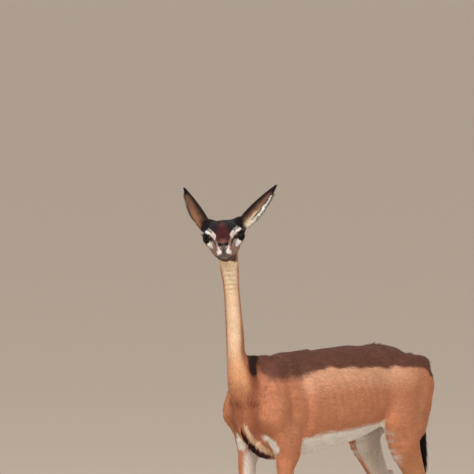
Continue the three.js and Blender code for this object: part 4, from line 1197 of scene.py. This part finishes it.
# Hooves: two claws of dark horn to a foot, with a flat sole, a pointed toe and faint rings of growth, and
# two small dew claws behind the fetlock. Each pair of claws stands for the two solids of its foot.
HOOF_HEIGHT, HOOF_CUT = 36.0, 0.3
CLAW_LONG, CLAW_WIDE, CLAW_SPLIT, CLAW_LEAN, CLAW_AHEAD = 66.0, 21.0, 3.0, 5.0, 23.0
TOP_LONG, TOP_WIDE, HEEL_DROP = 0.6, 0.86, 0.34  # size of the top over the sole, and how low it is behind
horn_finish = gloss_finish("hoof horn", 0.42, 0.12)


def claw(side, track, step, away):
    """Rings of one claw, from the middle of the sole out to its edge, up the wall and in over the top."""
    wall = np.linspace(0, 1, 22)
    level = np.concatenate([[0, 0, 0], wall, [1, 1]])[:, None]
    inset = np.concatenate([[0.3, 0.7, 0.92], 0.95 + 0.05 * ease(wall, 0, 0.1), [0.75, 0.35]])[:, None]
    a = np.linspace(0, 2 * np.pi, 48, endpoint=False)[None]
    toe = np.maximum(np.cos(a), 0)
    rings = 1 + 0.006 * np.sin(level * 20 + 1.5 * np.cos(a)) * ease(level, 0.05, 0.2)
    long = CLAW_LONG * blend(1, TOP_LONG, level) * inset * rings
    wide = CLAW_WIDE * blend(1, TOP_WIDE, level)
    bulge = 1 + inset * rings * np.sin(a) * (1 - 0.45 * toe**2)
    x = away * (CLAW_SPLIT / 2 + wide / 2 * bulge - 0.16 * wide * toe**3)
    y = -long / 2 * np.cos(a) + CLAW_LEAN * level - CLAW_AHEAD
    z = level * (HOOF_HEIGHT - HOOF_CUT) * (1 - HEEL_DROP * ease(-np.cos(a), -0.5, 1))
    return np.stack([side * (track + x), step + y, z], axis=-1)


def dew_claw(side, track, step, away):
    """Rings of a blunt cone behind the fetlock that points down and back, thick as a half ellipse."""
    t, a = wheel(np.linspace(0, 1, 8), 16)
    thick = 4.4 * np.sqrt(1 - (0.96 * t) ** 2)
    at = np.array([side * (track + 1 + 8 * away), step, 84])
    return np.stack([thick * np.cos(a), 2.5 * t + 0.8 * thick * np.sin(a), -10 * t + 0 * a], axis=-1) + at


FEET = (("fore", FORE_TRACK, FORE_STEP, 0, 12), ("hind", HIND_TRACK, HIND_STEP, 6, 19.5))
for kind, track, steps, claw_back, dew_back in FEET:
    for name, side in SIDES.items():
        shapes = [wound(claw(side, track, steps[name] + claw_back, away)) for away in (1, -1)]
        shapes += [wound(dew_claw(side, track, steps[name] + dew_back, away)) for away in (1, -1)]
        starts = np.cumsum([0] + [len(points) for points, _ in shapes[:-1]])
        points = np.concatenate([points for points, _ in shapes])
        faces = np.concatenate([faces + start for (_, faces), start in zip(shapes, starts)])
        pale = ease(points[:, 2], 22, 36) * (1 - ease(points[:, 2], 36, 40))
        colour = over(plain(tint(34, 29, 27), len(points)), tint(70, 58, 50), 0.6 * pale)
        hoof = lay_mesh(f"hooves_{kind}_{name}", points, faces, [horn_finish], colour)
        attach(hoof, BODY)
        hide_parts(*[f"hoof_{kind}_{name}_{which}" for which in ("outer", "inner")])


# Coat: short hair lying close, each tuft a thin closed wedge rooted under the skin. It runs back from the
# nose, down the neck and the legs and back along the trunk, and takes the colour of the skin at its root.
COAT_SEED = 20
BODY_TUFTS, HEAD_TUFTS = 0.165, 0.62  # per square millimetre of skin
BODY_LONG, HEAD_LONG = 15.0, 5.4  # length of a tuft
CORONET = 27  # height at which the hair ends and the horn begins
NECK_BASE, NECK_UP = np.array([0, -80.0, 868]), np.array([0, -0.5, 0.86])
NOSE_SEEN = [[[0, -129, 0], [0, -129, -28]], [[8, -124, 0], [13, -116, 3]], [[0, -131, -31], [16, -112, -33]]]


def on_ears(p):
    """For each ear, 1 on its blade and 0 elsewhere, and the level up the ear."""
    q = in_head(p)
    found = {}
    for name in SIDES:
        level, share, outside, gap = in_ear(name, q)
        found[name] = ((gap < 4.5) & (level > 0.1) & (head_height(p) > 0), level, share, outside)
    return found


def neck_height(p):
    """How far above the slanting plane where the neck leaves the trunk."""
    return (p - NECK_BASE) @ NECK_UP


def coat_places(p):
    """Per place: its piece of the coat, tufts per square millimetre, their length, and width over length."""
    x, y, z = p.T
    q, up_neck, height = in_head(p), neck_height(p), head_height(p)
    on_head, mirrored = height > 0, folded(q)
    piece = np.where(y < 70, 0, np.where(y < 300, 2, 4)) + (x < 0)
    leg = ((z < 640) & (y < 60) & (np.abs(x) > 30)) | ((z < 650) & (y > 330))
    piece = np.where(leg, 6 + 2 * (y > 200) + (x < 0), piece)
    piece = np.where(on_head, 11, np.where(up_neck > 0, 10, piece))
    density = BODY_TUFTS + 0.085 * ease(-z, -660, -560) + 0.085 * ease(up_neck, -10, 60)
    density = np.where(on_head, HEAD_TUFTS, density * (z > CORONET))
    long = BODY_LONG - 5 * ease(-z, -690, -560) - 3.5 * ease(-z, -480, -300) + 3.5 * ease(-z, -52, -38)
    long = long - 5 * ease(up_neck, -30, 90) - 4.6 * ease(height, -10, 20)
    slim = 0.125 + 0.03 * ease(height, -10, 20)
    muzzle = ease(-q[:, 1], 30, 100) * on_head
    long = np.where(on_head, HEAD_LONG - 2.6 * muzzle + 1.2 * ease(q[:, 2], 25, 45) * (1 - muzzle), long)
    bare = np.max([spot(mirrored, line, 4.0, 0.8) for line in NOSE_SEEN], axis=0)
    for side in SIDES.values():
        v = in_eye(q, side)
        gap = lid_gap(v)
        seen = (q[:, 0] * side > 0) & (v[:, 2] > 0) & on_head
        bare = np.where(seen, np.maximum(bare, 1 - ease(gap, 1.0, 2.2)), bare)
        long = np.where(seen, long * (0.5 + 0.5 * ease(gap, 3, 14)), long)
    density = density * (1 - bare * on_head)
    for number, (blade, level, _, outside) in enumerate(on_ears(p).values()):
        piece = np.where(blade, 12 + number, piece)
        long = np.where(blade, np.where(outside > 0, 4.2 + 1.6 * level, 7.5 - 3 * level), long)
        slim = np.where(blade, 0.14, slim)
    return piece, density, long, slim


def coat_lie(p, n):
    """The way the hair runs over the skin at p, a unit vector along the surface."""
    _, y, z = p.T
    count = len(p)
    way = np.repeat([[0, 1.0, -0.35]], count, axis=0)
    way = over(way, [0, 0.25, -1.0], ease(-y, 20, 90) * ease(z, 600, 660))
    way = over(way, [0, 0.1, -1.0], ease(y, 480, 560))
    way = over(way, [0, 0.12, -1.0], ease(-z, -720, -600) * (1 - ease(y, 70, 130) * ease(-y, -360, -300)))
    way = over(way, [0, 0.22, -1.0], ease(neck_height(p), -50, 10))
    q = in_head(p)
    back = np.repeat([[0, 1.0, 0.0]], count, axis=0)
    back = over(back, [0, 0.85, -0.5], ease(-q[:, 2], 8, 40))
    back = over(back, [0.35, 0.2, -0.9], ease(-q[:, 1], 112, 122) * ease(-q[:, 2], 4, 14))
    back[:, 0] *= np.sign(q[:, 0])
    for side in SIDES.values():
        axes, v = eye_axes(side), in_eye(q, side)
        away = np.stack([v[:, 0] / 1.9, v[:, 1] * 1.4], axis=1)
        ring = np.hypot(away[:, 0], away[:, 1]) + 1e-6
        out = (away / ring[:, None]) @ axes[:, :2].T
        close = (1 - ease(ring, 12, 26)) * (q[:, 0] * side > 0) * (v[:, 2] > -4)
        inward = np.minimum((back * out).sum(axis=1), 0)
        back = back - (close * 1.25 * inward)[:, None] * out + 0.18 * close[:, None] * out
    way = way + ease(head_height(p), -18, 22)[:, None] * (back @ HEAD_FRAME.T - way)
    for name, (blade, _, share, _) in on_ears(p).items():
        _, axis, _, wide = ear_axes(name)
        along = axis + 0.35 * share[:, None] * wide
        way = np.where(blade[:, None], along @ HEAD_FRAME.T, way)
    way = unit(way - (way * n).sum(axis=1)[:, None] * n)
    swirl = 0.16 * ripple(p, 60, 21) + np.random.default_rng(COAT_SEED + 1).normal(0, 0.13, count)
    return unit(way * np.cos(swirl)[:, None] + np.cross(n, way) * np.sin(swirl)[:, None])


def unwrap(p, piece):
    """Each place on a flat map of the skin: strips wound round the trunk, neck, head, ears and legs."""
    x, y, z = p.T
    uv = np.zeros((len(p), 2))
    q = in_head(p)
    round_trunk = np.arctan2(x, z - 780) / (2 * np.pi) + 0.5
    trunk_uv = np.stack([0.02 + 0.46 * round_trunk, 0.02 + 0.46 * (y + 130) / 740], axis=1)
    angle, _, _ = in_neck(p)
    neck_uv = np.stack([0.52 + 0.22 * (angle / (2 * np.pi) + 0.5), 0.02 + 0.46 * (z - 760) / 440], axis=1)
    round_head = np.arctan2(q[:, 0], q[:, 2]) / (2 * np.pi) + 0.5
    head_uv = np.stack([0.52 + 0.46 * round_head, 0.52 + 0.22 * (q[:, 1] + 140) / 260], axis=1)
    uv = np.where((piece < 6)[:, None], trunk_uv, uv)
    uv = np.where((piece == 10)[:, None], neck_uv, uv)
    uv = np.where((piece == 11)[:, None], head_uv, uv)
    for number, (kind, name) in enumerate(leg_rows):
        code = 6 + 2 * (kind == "hind") + (SIDES[name] < 0)
        leg = in_leg(kind, name, p)
        round_leg = np.arctan2(leg[:, 0], leg[:, 1]) / (2 * np.pi) + 0.5
        leg_uv = np.stack([0.02 + 0.12 * number + 0.1 * round_leg, 0.52 + 0.46 * z / 700], axis=1)
        uv = np.where((piece == code)[:, None], leg_uv, uv)
    for number, name in enumerate(SIDES):
        level, share, outside, _ = in_ear(name, q)
        u = 0.77 + 0.05 * (share + 1) / 2 + 0.055 * (outside > 0) + 0.115 * number
        ear_uv = np.stack([u, 0.02 + 0.46 * level], axis=1)
        uv = np.where((piece == 12 + number)[:, None], ear_uv, uv)
    return np.clip(uv, 0.002, 0.998)


def lay_tufts(name, root, normal, way, long, wide, colour, uv, finish, lift=0.13, seed=0):
    """Tufts as closed four-sided wedges: two root corners, a ridge point a quarter along, and the tip."""
    count = len(root)
    draw = np.random.default_rng(seed)
    side = np.cross(way, normal)
    rise = (lift * draw.uniform(0.6, 1.5, count))[:, None]
    long, wide = long[:, None], wide[:, None]
    foot = root - normal * 0.12 * wide - normal * 0.25
    corners = np.empty((count, 4, 3))
    corners[:, 0] = foot - side * wide / 2
    corners[:, 1] = foot + side * wide / 2
    corners[:, 2] = root + normal * (0.32 * wide + 0.25 * rise * long) + 0.26 * long * way
    corners[:, 3] = root + unit(way + rise * normal) * long - normal * 0.03 * long
    base = 4 * np.arange(count)[:, None, None]
    faces = (base + np.array([[0, 2, 3], [1, 3, 2], [0, 3, 1], [0, 1, 2]])).reshape(-1, 3)
    shade = draw.normal(1, 0.07, count)[:, None, None] * np.array([0.86, 0.86, 1.0, 1.1])[None, :, None]
    colours = np.clip(colour[:, None, :] * shade, 0.001, 1).reshape(-1, 3)
    tilt = np.stack([-0.35 * side, 0.35 * side, 0.05 * way, 0.3 * way], axis=1)
    normals = unit((normal[:, None] + tilt + 0.06 * draw.normal(size=(count, 4, 3))).reshape(-1, 3))
    tufts = lay_mesh(name, corners.reshape(-1, 3), faces, [finish], colours, normals)
    patch = uv[:, None] + 0.0015 * np.array([[-1, -1], [1, -1], [0, 0], [0, 1]])
    layer = tufts.data.uv_layers.new(name="OFBake")
    layer.data.foreach_set("uv", patch.reshape(-1, 2)[faces.ravel()].astype(np.float32).ravel())
    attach(tufts, BODY)
    return tufts


corner = skin_points[skin_faces]
area_normal = np.cross(corner[:, 1] - corner[:, 0], corner[:, 2] - corner[:, 0]) / 2
area = np.linalg.norm(area_normal, axis=1)
_, density, _, _ = coat_places(corner.mean(axis=1))
draw = np.random.default_rng(COAT_SEED)
total = np.cumsum(area * density)
picks = np.searchsorted(total, np.arange(total[-1] - 1) + draw.uniform(0, 1, int(np.ceil(total[-1] - 1))))
a, b = draw.uniform(0, 1, (2, len(picks)))
a, b = np.where(a + b > 1, 1 - a, a), np.where(a + b > 1, 1 - b, b)
share = np.stack([1 - a - b, a, b], axis=1)[:, :, None]
roots = (corner[picks] * share).sum(axis=1)
root_normals = unit((skin_normals[skin_faces[picks]] * share).sum(axis=1))
piece, density, long, slim = coat_places(roots)
keep = density > 0.05
roots, root_normals, piece, long, slim = (v[keep] for v in (roots, root_normals, piece, long, slim))
ways = coat_lie(roots, root_normals)
root_colours = markings(roots, root_normals)
root_uv = unwrap(roots, piece)
long = long * draw.uniform(0.75, 1.25, len(long))
wide = long * slim * draw.uniform(0.8, 1.25, len(long))
coat_finish = hair_finish("hair", 0.5, 0.04, grain=250.0)
BODY_PARTS = ("shoulder", "ribs", "rump", "foreleg", "hindleg")
PIECES = [(f"coat_{part}_{name}", "coat") for part in BODY_PARTS for name in SIDES]
PIECES += [("coat_neck", "neck_hair"), ("coat_head", "face_hair")]
PIECES += [(f"coat_ear_{name}", "ear_hair") for name in SIDES]
for code, (name, slot) in enumerate(PIECES):
    own = piece == code
    tufts = lay_tufts(
        name,
        *(v[own] for v in (roots, root_normals, ways, long, wide, root_colours, root_uv)),
        coat_finish,
        seed=COAT_SEED + 5 + code,
    )


# Tail brush: long coarse black hair in locks round the end of the tail, over a dark core that stands for
# the brush's solid.
BRUSH_PATH = np.array([[3.5, 585, 700], [4, 586, 676], [5, 587, 630], [6, 587, 585], [6, 586, 562]])
BRUSH_THICK = [4.5, 5.5, 7.5, 5.0, 1.2]
BRUSH_LOCKS = 1500


def along_brush(t):
    """Middle and thickness of the brush a share t from 0 to 4 of the way down it."""
    middle = np.stack([np.interp(t, range(5), BRUSH_PATH[:, k]) for k in range(3)], axis=-1)
    return middle, np.interp(t, range(5), BRUSH_THICK)[..., None]


t, a = wheel(np.linspace(0, 4, 30), 20)
middle, thick = along_brush(t)
core, faces = wound(middle + thick * np.stack([np.cos(a), np.sin(a), 0 * a], axis=-1))
brush_finish = hair_finish("brush hair", 0.42, 0.05, grain=300.0)
brush = lay_mesh("tail_brush_core", core, faces, [brush_finish], plain(EAR_BLACK, len(core)))
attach(brush, BODY)
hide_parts("tail_tuft")

draw = np.random.default_rng(COAT_SEED + 60)
t, a = draw.uniform(0, 3.4, BRUSH_LOCKS), draw.uniform(0, 2 * np.pi, BRUSH_LOCKS)
outward = np.stack([np.cos(a), np.sin(a), 0 * a], axis=1)
middle, thick = along_brush(t)
roots = middle + 0.8 * thick * outward
ways = unit(np.array([0.04, 0.05, -1]) + 0.1 * outward + draw.normal(0, 0.05, (BRUSH_LOCKS, 3)))
long = np.minimum(draw.uniform(28, 60, BRUSH_LOCKS), roots[:, 2] - 548)
locks = lay_tufts(
    "tail_brush_locks",
    roots,
    outward,
    ways,
    long,
    draw.uniform(1.2, 2.4, BRUSH_LOCKS),
    plain(tint(24, 18, 17), BRUSH_LOCKS),
    np.stack([0.1 + 0.3 * a / 7, 0.1 + 0.3 * t / 4], axis=1),
    brush_finish,
    lift=0.05,
    seed=COAT_SEED + 61,
)


# Long hair of the ears: white fringes with black streaks along both edges of each opening, and hair that
# lies over the white inside.
FRINGE = {"left": 0.42, "right": 0.15}  # how far the outer fringe stands out past the edge
FRINGE_LOCKS = 1500
for name, side in SIDES.items():
    root, axis, opening, wide_way = ear_axes(name)
    draw = np.random.default_rng(COAT_SEED + 70 + side)
    outer = draw.uniform(0, 1, FRINGE_LOCKS) < 0.6
    level = draw.uniform(0.06, 0.84, FRINGE_LOCKS)
    share = draw.uniform(0.6, 0.97, FRINGE_LOCKS) * np.where(outer, side, -side)
    half, radius = ear_roll(name, level)
    angle = share * half
    radial = np.sin(angle)[:, None] * wide_way - np.cos(angle)[:, None] * opening
    around_leaf = np.cos(angle)[:, None] * wide_way + np.sin(angle)[:, None] * opening
    arc = 0.6 * radius - 9 * level**2
    at = root + level[:, None] * EAR_LENGTH * axis + arc[:, None] * opening + (radius - 1.2)[:, None] * radial
    spread = np.where(outer, FRINGE[name], 0.25) * np.sign(share)
    stray = draw.normal(0, 0.08, (FRINGE_LOCKS, 3))
    ways = unit(axis + spread[:, None] * around_leaf + 0.25 * opening + stray)
    long = draw.uniform(11, 20, FRINGE_LOCKS) * (1 - 0.35 * level)
    dark = (np.sin(level * 58 + 5 * share) > 0.55) | (level > 0.78)
    locks = lay_tufts(
        f"ear_fringe_{name}",
        from_head(at),
        -radial @ HEAD_FRAME.T,
        ways @ HEAD_FRAME.T,
        long,
        0.06 * long,
        np.where(dark[:, None], EAR_BLACK, EAR_WHITE),
        np.stack([0.77 + 0.1 * (share + 1) / 2, 0.02 + 0.46 * level], axis=1),
        coat_finish,
        lift=0.1,
        seed=COAT_SEED + 72 + side,
    )


# Lashes: a row of black hairs along each upper lid, and a few shorter ones below. They are rooted in the
# rim of the lid and fan out away from the eye.
for name, side in SIDES.items():
    axes = eye_axes(side)
    t = np.concatenate([np.linspace(0.32, 2.95, 46), np.linspace(3.6, 5.8, 16)])
    lid_x, lid_y = lid_edge(t)
    lid = np.stack([lid_x, lid_y, np.sqrt((EYE_RADIUS + 1.2) ** 2 - lid_x**2 - lid_y**2)], axis=1)
    fan = unit(np.stack([0.5 + lid_x / 30, 0.75 * np.sign(lid_y), 0.9 + 0 * lid_x], axis=1))
    upper = np.sin(t) > 0
    normal = unit(np.stack([0 * t, 0.9 * np.sign(lid_y), -0.5 + 0 * t], axis=1))
    normal = unit(normal - (normal * fan).sum(axis=1)[:, None] * fan)
    lashes = lay_tufts(
        f"lashes_{name}",
        from_head(lid @ axes.T + [side * EYE_ASIDE, 0, 0]),
        normal @ axes.T @ HEAD_FRAME.T,
        fan @ axes.T @ HEAD_FRAME.T,
        np.where(upper, 9.0, 4.5),
        np.where(upper, 0.55, 0.4),
        plain(EAR_BLACK, len(t)),
        np.stack([0.75 + 0 * t, 0.52 + 0.2 * t / 6.3], axis=1),
        brush_finish,
        lift=0.12,
        seed=COAT_SEED + 90 + side,
    )


# Floor and light: a wide pale floor under a pale sky, a large soft light from the front right and a weaker
# one from the other side.
floor_finish = bpy.data.materials.new("studio floor")
floor_finish.use_nodes = True
floor_finish.node_tree.nodes["Principled BSDF"].inputs["Base Color"].default_value = (0.7, 0.6, 0.5, 1)
floor_finish.node_tree.nodes["Principled BSDF"].inputs["Roughness"].default_value = 0.9
bpy.ops.mesh.primitive_plane_add(size=900)
floor = bpy.context.object
floor.name = "floor"
floor.data.materials.append(floor_finish)
world = bpy.data.worlds.new("pale studio")
world.use_nodes = True
world.node_tree.nodes["Background"].inputs["Color"].default_value = (0.96, 0.9, 0.84, 1)
world.node_tree.nodes["Background"].inputs["Strength"].default_value = 0.6
bpy.context.scene.world = world


def soft_light(name, turn, rise, distance, power, size):
    """A square light turned about her from the front, raised, and aimed at her shoulders."""
    data = bpy.data.lights.new(name, "AREA")
    data.energy, data.size, data.shape = power, size, "SQUARE"
    back = towards(turn, rise)
    at = place([0, 0, WITHERS_HEIGHT - 20]) + distance * back
    set_up(bpy.data.objects.new(name, data), towards(turn + 90, 0), back, at)


soft_light("key", 28, 38, 5.0, 210.0, 2.4)
soft_light("fill", 95, 12, 6.0, 85.0, 3.5)
bpy.context.scene.view_settings.view_transform = "Standard"
